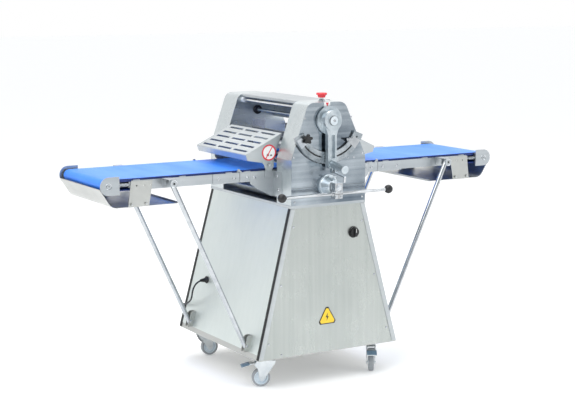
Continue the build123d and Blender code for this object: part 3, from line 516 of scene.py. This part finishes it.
@dataclass
class Studio:
    """Camera, floor, soft lights and a pale surround."""

    eye: Point = (-3.245, -5.4405, 1.7197)
    azimuth: float = -30.9
    pitch: float = 8.9
    lens: float = 88.37
    floor_half: float = 40.0

    def build(self) -> None:
        """Sets up everything that is not the machine."""
        self.aim()
        self.lay_floor()
        self.hang_lights()
        self.paint_surround()

    def aim(self) -> None:
        """Places the camera."""
        data = bpy.data.cameras.new("camera")
        data.sensor_width = 36.0
        data.lens = self.lens
        data.clip_end = 200.0
        camera = added("camera", data)
        camera.location = self.eye
        camera.rotation_euler = (math.radians(90.0 - self.pitch), 0.0, math.radians(self.azimuth))
        bpy.context.scene.camera = camera

    def lay_floor(self) -> None:
        """Lays a plain pale floor just under the wheels."""
        work = bmesh.new()
        bmesh.ops.create_grid(work, x_segments=1, y_segments=1, size=self.floor_half,
                              matrix=at((0.0, 0.0, -0.0006)))
        mesh = bpy.data.meshes.new("studio_floor")
        work.to_mesh(mesh)
        work.free()
        floor = added("studio_floor", mesh)
        s = Shader("studio_floor")
        s.set(Base_Color=(0.93, 0.93, 0.93, 1.0), Roughness=0.9, Specular_IOR_Level=0.1,
              Emission_Color=(1.0, 1.0, 1.0, 1.0), Emission_Strength=0.17)
        mesh.materials.append(s.material)

    def hang_lights(self) -> None:
        """Hangs large soft lights."""
        plan = (
            ("key", (-2.6, -1.6, 4.2), (0.0, 0.0, 0.6), 3.4, 95.0),
            ("top", (0.6, 1.0, 4.6), (0.0, 0.0, 0.5), 3.6, 100.0),
            ("front", (2.8, -4.4, 2.6), (0.0, 0.0, 0.7), 2.2, 36.0),
        )
        for name, spot, target, size, watts in plan:
            data = bpy.data.lights.new(name, "AREA")
            data.size = size
            data.energy = watts
            light = added(name, data)
            light.location = spot
            way = Vector(target) - Vector(spot)
            light.rotation_euler = way.to_track_quat("-Z", "Y").to_euler()

    def paint_surround(self) -> None:
        """Paints a surround that is white behind the machine and greyer behind the operator."""
        world = bpy.data.worlds.new("surround")
        world.use_nodes = True
        tree = world.node_tree
        back = tree.nodes["Background"]
        coords = tree.nodes.new("ShaderNodeTexCoord")
        split = tree.nodes.new("ShaderNodeSeparateXYZ")
        ramp = tree.nodes.new("ShaderNodeValToRGB")
        shift = tree.nodes.new("ShaderNodeMath")
        shift.operation = "MULTIPLY_ADD"
        shift.inputs[1].default_value = 0.5
        shift.inputs[2].default_value = 0.5
        tree.links.new(coords.outputs["Generated"], split.inputs[0])
        tree.links.new(split.outputs["Y"], shift.inputs[0])
        tree.links.new(shift.outputs[0], ramp.inputs[0])
        stops = ramp.color_ramp.elements
        stops[0].position, stops[0].color = 0.02, (0.50, 0.53, 0.55, 1.0)
        stops[1].position, stops[1].color = 0.62, (1.0, 1.0, 1.0, 1.0)
        stops.new(0.34).color = (0.80, 0.83, 0.85, 1.0)
        tree.links.new(ramp.outputs[0], back.inputs[0])
        back.inputs[1].default_value = 1.0
        bpy.context.scene.world = world
        bpy.context.scene.view_settings.view_transform = "Standard"


@dataclass
class PowerLead:
    """The supply cord: out of its gland, round the cabinet's corner, into a coil behind, and its plug."""

    start: Point = (-0.30674, 0.213, 0.379)
    radius: float = 0.004
    route: tuple[Point, ...] = (
        (-0.325, 0.213, 0.379), (-0.345, 0.215, 0.370), (-0.358, 0.218, 0.353), (-0.363, 0.225, 0.330),
        (-0.361, 0.234, 0.308), (-0.357, 0.248, 0.292), (-0.353, 0.268, 0.277), (-0.352, 0.292, 0.263),
        (-0.351, 0.320, 0.252), (-0.349, 0.350, 0.245), (-0.341, 0.377, 0.239), (-0.324, 0.395, 0.230),
        (-0.301, 0.408, 0.216), (-0.280, 0.420, 0.192), (-0.262, 0.430, 0.160), (-0.248, 0.438, 0.124),
        (-0.236, 0.446, 0.088), (-0.222, 0.454, 0.054), (-0.202, 0.462, 0.026), (-0.172, 0.470, 0.009),
        (-0.128, 0.474, 0.004), (-0.076, 0.473, 0.004), (-0.026, 0.469, 0.004), (0.026, 0.466, 0.004),
        (0.080, 0.466, 0.004),
    )
    coil_mean: float = 0.044
    turns: float = 3.5
    per_turn: int = 16

    def build(self) -> None:
        """Makes the cord, its relief boot and its plug."""
        plug = self.make_plug()
        boot = self.make_boot()
        data = bpy.data.curves.new("supply_cord", "CURVE")
        data.dimensions = "3D"
        data.bevel_depth = self.radius
        data.bevel_resolution = 5
        data.resolution_u = 6
        spline = data.splines.new("NURBS")
        points = [self.start, *self.route, *self.coil()]
        spline.points.add(len(points) - 1)
        for point, place in zip(spline.points, points):
            point.co = (*place, 1.0)
        spline.order_u = 3
        spline.use_endpoint_u = True
        data.use_fill_caps = True
        cord = added("supply_cord", data)
        data.materials.append(MATERIALS["cord_rubber"])
        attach(cord, "cabinet")
        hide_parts("power_cord", "cord_coil")

    def coil(self) -> list[Point]:
        """Returns the coil's points: two turns on the floor, the rest on top of them."""
        low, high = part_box("cord_coil")
        cx = low[0] + self.coil_mean + 2 * self.radius
        cy = self.route[-1][1] + self.coil_mean + self.radius
        wide, tight = self.coil_mean + self.radius, self.coil_mean - self.radius
        stages = ((wide, self.radius), (tight, self.radius), (tight, 3 * self.radius), (wide, 3 * self.radius))
        points = []
        for step in range(2, int(self.turns * self.per_turn) + 1):
            turn, part = divmod(step / self.per_turn, 1.0)
            now = stages[min(int(turn), 3)]
            after = stages[min(int(turn) + 1, 3)]
            ease = max(0.0, (part - 0.8) / 0.2)
            radius = now[0] + (after[0] - now[0]) * ease
            height = now[1] + (after[1] - now[1]) * ease
            angle = -math.pi / 2 + math.tau * step / self.per_turn
            points.append((cx + radius * math.cos(angle), cy + radius * math.sin(angle), height))
        end = points[-1]
        points.append((end[0] - 0.012, end[1], end[2]))
        return points

    def make_boot(self) -> bpy.types.Object:
        """Makes the tapered relief where the cord leaves the side sheet."""
        work = bmesh.new()
        place = on(self.start, Facing.LEFT)
        profile = [(0.0, -0.0138), (0.017, -0.0138), (0.017, -0.010), (0.0145, -0.007), (0.0115, -0.004),
                   (0.0102, 0.0)]
        for i in range(3):
            base = 0.002 + i * 0.006
            wide = 0.0092 - i * 0.001
            neck = wide - 0.0016
            profile += [(wide, base), (wide, base + 0.0028), (neck, base + 0.0034), (neck, base + 0.0052)]
        profile += [(0.0052, 0.0215), (0.0044, 0.022)]
        turned(work, profile, place, 28)
        return put(work, "cord_relief", "cabinet", ["black_plastic"])

    def make_plug(self) -> bpy.types.Object:
        """Makes a plain two-pin plug that lies at the coil."""
        low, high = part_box("power_plug")
        mid_y = (low[1] + high[1]) / 2
        work = bmesh.new()
        place = on((high[0] - 0.0325, mid_y, 0.012), Facing.RIGHT)
        profile = [(0, 0), (0.0075, 0.0), (0.0075, 0.010), (0.0062, 0.013), (0.0062, 0.016), (0.0068, 0.018),
                   (0.0056, 0.024), (0.0046, 0.030), (0, 0.030)]
        turned(work, profile, place, 20)
        body = (low[0] + 0.018 + high[0] - 0.032) / 2
        slab(work, (0.0325, 0.033, 0.0235), at((body, mid_y, 0.0120)), 0.005)
        for side in (-1, 1):
            slab(work, (0.003, 0.024, 0.004), at((body + side * 0.008, mid_y, 0.0235)), 0.0008)
            pin = on((low[0] + 0.0005, mid_y + side * 0.0075, 0.013), Facing.RIGHT)
            turned(work, [(0, 0), (0.0016, 0), (0.0024, 0.001), (0.0024, 0.018), (0, 0.018)], pin, 14, 1)
        piece = put(work, "cord_plug", "cabinet", ["black_plastic", "bright_chrome"])
        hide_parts("power_plug")
        return piece


# ---------------------------------------------------------------- sub-assemblies


@dataclass
class FrameDress:
    """Finishes and softened edges for the frame's own nodes."""

    looks: dict[str, str] = field(default_factory=lambda: {
        "tray_sheet": "base_tray strut_clevises left_catch_tray right_catch_tray",
        "side_sheet": "side_panels",
        "front_sheet": "front_panel back_panel",
        "seal_rubber": "corner_seals",
        "frame_sheet":
            "cabinet_deck top_cover inner_frames left_table_frame right_table_frame left_end_caps "
            "right_end_caps",
        "housing_skin": "front_housing rear_housing",
        "housing_sheet": "front_plate",
        "bars_and_caps": "tie_bars",
        "sector_steel": "gauge_sector",
        "white_metal": "lever_boss",
        "belt_skin": "inner_belts left_table_belt right_table_belt",
        "dark_sheet": "bearing_blocks upper_carriage",
        "motor_enamel": "drive_motor",
        "roll_chrome": "upper_roller lower_roller",
        "turned_metal": "left_drive_roller right_drive_roller left_stop left_tail_roller right_tail_roller",
        "cast_metal": "lever_arm hand_grip",
        "bright_chrome": "thumb_trigger right_stop left_struts right_struts",
        "black_plastic": "star_knob switch_knob",
        "cross_bar": "shift_lever",
        "mushroom": "estop_button",
        "guard_sheet": "left_guard right_guard",
        "zinc": "front_left_brake front_right_brake front_left_fork rear_left_fork front_right_fork "
                "rear_right_fork",
    })
    softened: dict[str, float] = field(default_factory=lambda: {
        "lever_arm": 0.0016, "lever_boss": 0.0015, "shift_lever": 0.0012, "hand_grip": 0.0008,
        "star_knob": 0.0012, "switch_knob": 0.001, "gauge_sector": 0.0004, "estop_button": 0.0006,
        "thumb_trigger": 0.0008, "base_tray": 0.0012,
    })

    def build(self) -> None:
        """Dresses every node that keeps its own shape."""
        for finish, nodes in self.looks.items():
            for node in nodes.split():
                self.dress(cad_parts[node], MATERIALS[finish])
        for node, width in self.softened.items():
            self.soften(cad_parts[node], width)
        LOG.info("%d finishes on nodes", len(self.looks))

    @staticmethod
    def dress(node: bpy.types.Object, material: bpy.types.Material) -> None:
        """Gives a node one material all over."""
        slots = node.data.materials
        if not slots:
            slots.append(material)
        for i in range(len(slots)):
            slots[i] = material

    @staticmethod
    def soften(node: bpy.types.Object, width: float) -> None:
        """Rounds a node's hard edges a little."""
        weld = node.modifiers.new("join", "WELD")
        weld.merge_threshold = 0.00002
        bevel = node.modifiers.new("edges", "BEVEL")
        bevel.width = width
        bevel.segments = 2
        bevel.limit_method = "ANGLE"
        bevel.angle_limit = math.radians(38.0)
        bevel.harden_normals = False


@dataclass
class Cabinet:
    """Fittings of the cabinet: trim strips, door screws, switch bezel and a plain plaque."""

    base: tuple[float, float, float] = (0.356, 0.374, 0.138)
    top: tuple[float, float, float] = (0.188, 0.358, 0.778)
    knob: tuple[float, float] = (0.131, 0.651)

    def half(self, z: float) -> tuple[float, float]:
        """Returns the cabinet's half length and half depth at a height."""
        part = (z - self.base[2]) / (self.top[2] - self.base[2])
        return tuple(a + (b - a) * part for a, b in zip(self.base[:2], self.top[:2]))

    def build(self) -> None:
        """Makes the fittings."""
        self.trims()
        self.screws()
        self.switch()
        self.plaque()

    def trims(self) -> None:
        """Makes the folded edges of the front and back doors."""
        work = bmesh.new()
        for sy in (-1, 1):
            for sx in (-1, 1):
                rings = []
                for z in (self.base[2] + 0.002, self.top[2] - 0.002):
                    x, y = self.half(z)
                    lip = [(sx * x, sy * y), (sx * x, sy * (y + 0.004)), (sx * (x - 0.021), sy * (y + 0.004)),
                           (sx * (x - 0.023), sy * y)]
                    verts = [work.verts.new((px, py, z)) for px, py in lip]
                    face = work.faces.new(verts)
                    rings.append(face.edges[:])
                bmesh.ops.bridge_loops(work, edges=rings[0] + rings[1])
        bmesh.ops.recalc_face_normals(work, faces=work.faces)
        long_edges = [e for e in work.edges if abs(e.verts[0].co.z - e.verts[1].co.z) > 0.3]
        round_off(work, long_edges, 0.0014)
        put(work, "door_edges", "cabinet", ["guard_sheet"])

    def screws(self) -> None:
        """Makes the door's screws."""
        work = bmesh.new()
        for z in (0.203, 0.451, 0.698):
            x, y = self.half(z)
            for sx in (-1, 1):
                for sy, facing in FLANKS:
                    screw(work, (sx * (x - 0.034), sy * y, z), facing, 0.0055, Head.DOME)
        x, y = self.half(0.15)
        screw(work, (-0.242, -y, 0.150), Facing.FRONT, 0.0045, Head.DOME)
        put(work, "door_screws", "cabinet", ["bright_chrome"])

    def switch(self) -> None:
        """Makes the switch's bezel with its generic marks and the line on its knob."""
        kx, kz = self.knob
        y = -self.half(kz)[1]
        work = bmesh.new()
        place = on((kx, y, kz), Facing.FRONT)
        profile = [(0.0068, -0.0004), (0.0255, -0.0004), (0.0255, 0.0022), (0.0238, 0.0036), (0.0068, 0.0036)]
        turned(work, profile, place, 48)
        for i in range(7):
            angle = math.radians(-60 + 20 * i)
            spot = (kx + 0.0228 * math.sin(angle), y - 0.0036, kz + 0.0228 * math.cos(angle))
            turn = at(spot) @ spun(angle, "Y")
            slab(work, (0.0009, 0.0006, 0.0032), turn, 0.0, 1)
        put(work, "switch_bezel", "cabinet", ["black_plastic", "label_white"])
        work = bmesh.new()
        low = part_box("switch_knob")[0]
        slab(work, (0.0022, 0.0012, 0.017), at((kx, low[1], kz + 0.0085)), 0.0004)
        put(work, "switch_line", "switch", ["label_white"])

    def plaque(self) -> None:
        """Makes a yellow triangular plaque with a dark border and a dark bolt mark."""
        x, z = -0.009, 0.2975
        y = -self.half(z)[1]
        tilt = math.atan2(self.base[1] - self.top[1], self.top[2] - self.base[2])
        place = at((x, y, z)) @ spun(-tilt, "X") @ spun(math.radians(90), "X")
        work = bmesh.new()

        def corner(radius: float, lift: float) -> list[tuple[float, float]]:
            """Returns a triangle with cut corners."""
            points = []
            for i in range(3):
                for off in (-8, 8):
                    angle = math.radians(90 + 120 * i + off)
                    points.append((radius * math.cos(angle), radius * math.sin(angle) - lift))
            return points

        plate(work, corner(0.047, 0.011), 0.0010, place, 0.0003, 0)
        plate(work, corner(0.040, 0.011), 0.0005, place @ at((0, 0, 0.0009)), 0.0, 1)
        mark = place @ at((0, -0.011, 0.0013))
        bolt = [(0.003, 0.021), (-0.0085, 0.001), (-0.001, 0.001), (-0.0045, -0.014), (0.0085, 0.0045),
                (0.001, 0.0045)]
        plate(work, bolt, 0.0003, mark, 0.0, 0)
        put(work, "plain_plaque", "cabinet", ["black_marks_and_shade", "plaque_yellow"])


@dataclass
class HousingFittings:
    """Fittings of the side housing: plate screws, pointer label, stop collar, dial marks."""

    plate_y: float = -0.365
    hub: tuple[float, float] = (-0.006, 1.150)
    label: tuple[float, float] = (-0.010, 1.2165)
    collar_foot: Point = (0.003, -0.300, 1.2262)

    def build(self) -> None:
        """Makes the fittings."""
        self.plate_screws()
        self.pointer()
        self.collar()
        self.dial()
        self.shafts()
        self.clamp()
        self.slot_covers()
        self.sector_slot_shade()

    def sector_slot_shade(self) -> None:
        """Makes painted shade for the gauge: black floors in its two arc slots and a black outline on the plate
        behind its rim, where shade falls.
        """
        hx, hz = self.hub
        work = bmesh.new()
        # Each row: first and last angle, radius, width and y of one black arc of painted shade.
        for first, last, mid, wide, y in ((-61, -15, 0.1615, 0.0058, -0.3711), (15, 61, 0.1615, 0.0058, -0.3711),
                                          (-64, 64, 0.1362, 0.0026, -0.3655), (-60, 60, 0.1893, 0.0020, -0.3655)):
            steps = max(12, (last - first) // 2)
            for i in range(steps):
                angle = math.radians(first + (last - first) * (i + 0.5) / steps)
                spot = (hx + mid * math.sin(angle), y, hz - mid * math.cos(angle))
                length = mid * math.radians(last - first) / steps * 1.06
                place = at(spot) @ spun(-angle, "Y")
                slab(work, (length, 0.0010, wide), place)
        put(work, "sector_slot_shade", "cabinet", ["black_marks_and_shade"])

    def clamp(self) -> None:
        """Makes the clamp's hex bolt, the screws and seam lines of its two plates, and the cast boss's cover."""
        work = bmesh.new()
        hx = self.hub[0]
        screw(work, (hx, -0.4552, 0.868), Facing.FRONT, 0.0105, Head.HEX, 0)
        for z in (0.851, 0.829):
            for dx in (-0.0125, 0.0125):
                screw(work, (hx + dx, -0.4549, z), Facing.FRONT, 0.0042, Head.SOCKET, 0)
        slab(work, (0.0385, 0.0008, 0.0016), at((hx, -0.4551, 0.840)), 0.0, 1)
        slab(work, (0.0014, 0.0008, 0.0200), at((hx, -0.4551, 0.8305)), 0.0, 1)
        put(work, "clamp_screws", "direction_lever", ["turned_metal", "black_marks_and_shade"])
        work = bmesh.new()
        cover = at((hx, -0.3935, 0.9055)) @ spun(math.radians(-14), "X")
        slab(work, (0.040, 0.026, 0.0050), cover, 0.0014)
        for dx in (-0.0135, 0.0135):
            place = cover @ at((dx, 0.0, 0.0024))
            turned(work, [(0, 0), (0.0040, 0), (0.0040, 0.0022), (0.0033, 0.0028), (0, 0.0028)], place, 16, 1)
        put(work, "boss_cover", "cabinet", ["cast_metal", "bright_chrome"])

    def slot_covers(self) -> None:
        """Makes the chrome wiper plates that close the slots in the inner walls."""
        work = bmesh.new()
        for sy in (-1, 1):
            spot = at((0.0, sy * 0.2425, 1.0295))
            slab(work, (0.070, 0.0009, 0.161), spot)
        put(work, "slot_wipers", "carriage", ["roll_chrome"])

    def plate_screws(self) -> None:
        """Makes the screws of the front plate and the marks on its right."""
        work = bmesh.new()
        spots = ((-0.122, 1.161), (0.112, 1.158), (-0.176, 0.998), (0.172, 0.998), (-0.172, 0.806), (0.172, 0.806))
        for x, z in spots:
            screw(work, (x, self.plate_y, z), Facing.FRONT, 0.0048, Head.DOME)
        for x, z in ((0.098, 0.981), (0.128, 0.981)):
            screw(work, (x, self.plate_y, z), Facing.FRONT, 0.0040, Head.DOME)
        piece = put(work, "plate_screws", "cabinet", ["bright_chrome"])
        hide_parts("panel_fittings")

    def pointer(self) -> None:
        """Makes the white label with its red pointer over the dial."""
        work = bmesh.new()
        x, z = self.label
        place = on((x, self.plate_y, z), Facing.FRONT)
        slab(work, (0.030, 0.019, 0.0010), place @ at((0, 0, 0.0004)), 0.0003)
        flip = at((x, self.plate_y - 0.0009, z)) @ spun(math.radians(90), "X")
        plate(work, [(-0.0075, 0.0075), (0.0, -0.0085), (0.0075, 0.0075)], 0.0004, flip, 0.0, 1)
        put(work, "dial_pointer", "cabinet", ["label_white", "label_red"])

    def collar(self) -> None:
        """Makes the threaded collar under the stop button."""
        work = bmesh.new()
        place = at(self.collar_foot)
        profile = [(0.0086, 0.0), (0.0145, 0.0), (0.0145, 0.003), (0.0122, 0.0034)]
        for i in range(4):
            z = 0.0038 + i * 0.0013
            profile += [(0.0118, z), (0.0124, z + 0.0006)]
        profile += [(0.0116, 0.0090), (0.0086, 0.0090)]
        turned(work, profile, place, 36)
        put(work, "stop_collar", "cabinet", ["bright_chrome"])

    def dial(self) -> None:
        """Makes the engraved lines and plain tick marks round the dial and rings on its hub."""
        hx, hz = self.hub
        work = bmesh.new()
        rim = 0.0611
        for i in range(40):
            angle = math.tau * i / 40
            long = 0.0052 if i % 5 else 0.008
            y = self.plate_y - 0.0148 + long / 2 + 0.0006
            spot = (hx + rim * math.sin(angle), y, hz + rim * math.cos(angle))
            place = at(spot) @ spun(angle, "Y")
            slab(work, (0.0008, long, 0.0005), place)
        front = on((hx, self.plate_y - 0.0520, hz), Facing.FRONT)
        turned(work, [(0.0196, -0.0003), (0.0203, 0.0004), (0.0212, -0.0012), (0.0218, -0.0030)], front, 48, 0)
        turned(work, [(0.0, 0.0016), (0.0045, 0.0014), (0.0062, 0.0), (0.0062, -0.0004)], front, 32, 1)
        turned(work, [(0.0062, 0.0002), (0.0120, 0.0006), (0.0190, 0.0002)], front, 48, 2)
        turned(work, [(0.0268, -0.0090), (0.0276, -0.0068), (0.0284, -0.0068), (0.0290, -0.0090)], front, 56, 2)
        names = ["black_marks_and_shade", "bright_chrome", "white_metal"]
        put(work, "dial_marks", "thickness_lever", names)

    def shafts(self) -> None:
        """Makes the dark bearing rings on the inner walls and the guard switch bracket."""
        hx, hz = self.hub
        work = bmesh.new()
        for sy in (-1, 1):
            place = on((hx, sy * 0.2428, hz), Facing.FRONT if sy > 0 else Facing.BACK)
            profile = [(0.0096, 0.0), (0.021, 0.0), (0.021, 0.005), (0.018, 0.009), (0.0096, 0.009)]
            turned(work, profile, place, 36)
        slab(work, (0.034, 0.016, 0.030), at((-0.120, -0.2345, 1.118)), 0.003)
        slab(work, (0.010, 0.010, 0.016), at((-0.128, -0.2345, 1.099)), 0.002)
        put(work, "wall_rings", "cabinet", ["black_plastic"])


@dataclass
class Conveyor:
    """Screws and small hardware of the rails, brackets, lap plates, end caps and struts on both sides."""

    rail_face: float = 0.218
    rail_screw: float = 0.0070
    foot: tuple[float, float] = (0.362, 0.184)

    def build(self) -> None:
        """Makes the hardware of each side."""
        for side, sx in SIDES:
            self.fixed(side, sx)
            self.table(side, sx)
            self.struts(side, sx)
            self.belt_edges(side, sx)

    def belt_edges(self, side: str, sx: int) -> None:
        """Makes the navy sealed edges of the belt's upper and lower runs."""
        runs = (("table", f"{side}_table", 0.3585, 0.911), ("inner", "cabinet", 0.120, 0.3540))
        for name, body, near, far in runs:
            work = bmesh.new()
            for sy in (-1, 1):
                for low, high in ((0.9252, 0.9372), (0.8885, 0.8935)):
                    size = (far - near, 0.0016, high - low)
                    spot = (sx * (far + near) / 2, sy * 0.2029, (low + high) / 2)
                    slab(work, size, at(spot), 0.0004)
            put(work, f"{side}_{name}_belt_edges", body, ["belt_navy"])

    def fixed(self, side: str, sx: int) -> None:
        """Makes the screws of the fixed rails and brackets."""
        work = bmesh.new()
        for sy, facing in FLANKS:
            for x, z in ((0.285, 0.905), (0.209, 0.904), (0.3205, 0.908)):
                screw(work, (sx * x, sy * self.rail_face, z), facing, self.rail_screw, Head.DOME)
            out = Facing.LEFT if sx < 0 else Facing.RIGHT
            for y, z in ((0.250, 0.907), (0.262, 0.850)):
                screw(work, (sx * 0.191, sy * y, z), out, self.rail_screw, Head.CROSS)
            screw(work, (sx * 0.217, sy * 0.2328, 0.954), facing, 0.0058, Head.HEX)
        put(work, f"{side}_bracket_screws", "cabinet", ["bright_chrome", "black_marks_and_shade"])

    def table(self, side: str, sx: int) -> None:
        """Makes the screws, marks and washers of a folding table."""
        work = bmesh.new()
        for sy, facing in FLANKS:
            for x in (0.459, 0.384):
                screw(work, (sx * x, sy * self.rail_face, 0.908), facing, self.rail_screw, Head.DOME)
            for x, z in ((0.862, 0.832), (0.797, 0.832)):
                screw(work, (sx * x, sy * 0.2225, z), facing, 0.0050, Head.DOME)
            place = on((sx * 0.962, sy * 0.221, 0.913), facing)
            turned(work, [(0.0, 0.0004), (0.0022, 0.0002), (0.0024, -0.001)], place, 20, 1)
            turned(work, [(0.0105, -0.002), (0.0125, -0.0012), (0.0132, -0.002)], place, 36, 0)
            for x, tone in ((0.838, 1), (0.805, 2), (0.776, 2)):
                spot = on((sx * x, sy * 0.2152, 0.908), facing)
                turned(work, [(0.0, 0.0002), (0.0031, 0.0)], spot, 16, tone)
        names = ["bright_chrome", "black_marks_and_shade", "label_white"]
        put(work, f"{side}_table_screws", f"{side}_table", names)

    def struts(self, side: str, sx: int) -> None:
        """Makes the pivot knobs at the struts' tops and the pin heads at their feet."""
        work = bmesh.new()
        for sy, facing in FLANKS:
            place = on((sx * 0.702, sy * 0.2885, 0.914), facing)
            turned(work, [(0.0, -0.0002), (0.0125, -0.0002), (0.0150, 0.0004), (0.0166, -0.0006)], place, 36, 0)
            turned(work, [(0.0, 0.0009), (0.0052, 0.0007)], place, 6, 1)
        put(work, f"{side}_strut_knobs", f"{side}_table", ["roll_chrome", "black_marks_and_shade"])
        work = bmesh.new()
        for sy, facing in FLANKS:
            inner = Facing.BACK if sy < 0 else Facing.FRONT
            for way, y in ((facing, 0.2825), (inner, 0.2495)):
                screw(work, (sx * self.foot[0], sy * y, self.foot[1]), way, 0.0062, Head.DOME)
        put(work, f"{side}_foot_pins", "cabinet", ["bright_chrome"])


@dataclass
class GuardSigns:
    """The round keep-out signs on the guards' operator side: white disc, red ring and slash."""

    radius: float = 0.035
    centre: tuple[float, float] = (0.218, 1.008)

    def build(self) -> None:
        """Makes both signs."""
        for side, sx in SIDES:
            work = bmesh.new()
            x0, z0, r = sx * self.centre[0], self.centre[1], self.radius
            place = on((x0, -0.2281, z0), Facing.FRONT)
            turned(work, [(0.0, 0.0004), (r * 0.98, 0.0004), (r * 0.98, -0.0002)], place, 48, 0)
            ring = [(r * 0.82, 0.0003), (r * 0.83, 0.0008), (r * 0.98, 0.0008), (r, 0.0003)]
            turned(work, ring, place, 48, 1)
            slash = at((x0, -0.2287, z0)) @ spun(math.radians(33), "Y")
            slab(work, (0.0042, 0.0006, r * 1.7), slash, 0.0, 1)
            for x, z, w, h in ((-0.006, -0.010, 0.010, 0.009), (0.010, -0.012, 0.008, 0.006)):
                spot = at((x0 + x, -0.2286, z0 + z))
                slab(work, (w, 0.0004, h), spot, 0.0, 2)
            names = ["label_white", "label_red", "black_marks_and_shade"]
            put(work, f"{side}_keep_out_sign", f"{side}_guard_body", names)


@dataclass
class Casters:
    """The caster wheels with tyre, ribbed hub and bearing caps, and the pedals' dark tips."""

    trail: float = 0.029
    spots: dict[str, tuple[float, float, float]] = field(default_factory=lambda: {
        "front_left": (-0.270, -0.300, 158.0), "rear_left": (-0.270, 0.300, -8.0),
        "front_right": (0.270, -0.300, -121.0), "rear_right": (0.270, 0.300, 40.0),
    })

    def build(self) -> None:
        """Makes four wheels and two pedal tips."""
        for name, (x, y, turn) in self.spots.items():
            place = at((x, y, 0.0)) @ spun(math.radians(turn), "Z")
            self.wheel(name, place)
            if name.startswith("front"):
                self.pedal(name, place)

    def wheel(self, name: str, place: Matrix) -> None:
        """Makes one wheel in place of its plain node."""
        work = bmesh.new()
        axle = place @ at((self.trail, 0.0, 0.040)) @ spun(math.radians(90), "X")
        axle = axle @ Matrix.Diagonal((1.0, 1.0, 1.083, 1.0))
        tyre = [(0.0305, -0.0100), (0.0345, -0.0112), (0.0382, -0.0108), (0.0396, -0.0085), (0.0400, -0.0045),
                (0.0400, 0.0045), (0.0396, 0.0085), (0.0382, 0.0108), (0.0345, 0.0112), (0.0305, 0.0100)]
        turned(work, tyre, axle, 64, 0)
        for side in (-1, 1):
            half = ((0.0043, 0.0118), (0.0105, 0.0118), (0.0112, 0.0085), (0.0240, 0.0060), (0.0262, 0.0095),
                    (0.0305, 0.0104), (0.0308, 0.0095))
            hub = [(radius, side * reach) for radius, reach in half]
            turned(work, hub, axle, 64, 1)
            for i in range(5):
                rib = axle @ spun(math.tau * i / 5, "Z") @ at((0.0178, 0.0, side * 0.0074))
                slab(work, (0.0135, 0.0024, 0.0036), rib, 0.0007, 1)
        turned(work, [(0.0043, -0.0118), (0.0043, 0.0118)], axle, 24, 2)
        names = ["tyre_grey", "hub_plastic", "zinc"]
        piece = put(work, f"{name}_caster_wheel", f"{name}_roll", names)
        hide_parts(f"{name}_wheel")

    def pedal(self, name: str, place: Matrix) -> None:
        """Makes the dark grip on a brake pedal's tip."""
        work = bmesh.new()
        slope = math.atan2(0.012, 0.042)
        tip = place @ at((0.0975, 0.0, 0.0981)) @ spun(slope, "Y")
        slab(work, (0.038, 0.0450, 0.0048), tip, 0.0014)
        for i in range(4):
            slab(work, (0.0024, 0.038, 0.0014), tip @ at((-0.0120 + i * 0.008, 0, 0.0026)), 0.0005)
        put(work, f"{name}_pedal_grip", f"{name}_pedal", ["pedal_tip"])


def main() -> None:
    """Builds the studio, the cord, the finishes and every fitting, in that order."""
    logging.basicConfig(level=logging.INFO, format="%(message)s")
    Finishes().make()
    Studio().build()
    PowerLead().build()
    FrameDress().build()
    for part in (Cabinet(), HousingFittings(), Conveyor(), GuardSigns(), Casters()):
        part.build()
        LOG.info("%s done", type(part).__name__)


if __name__ == "__main__":
    main()
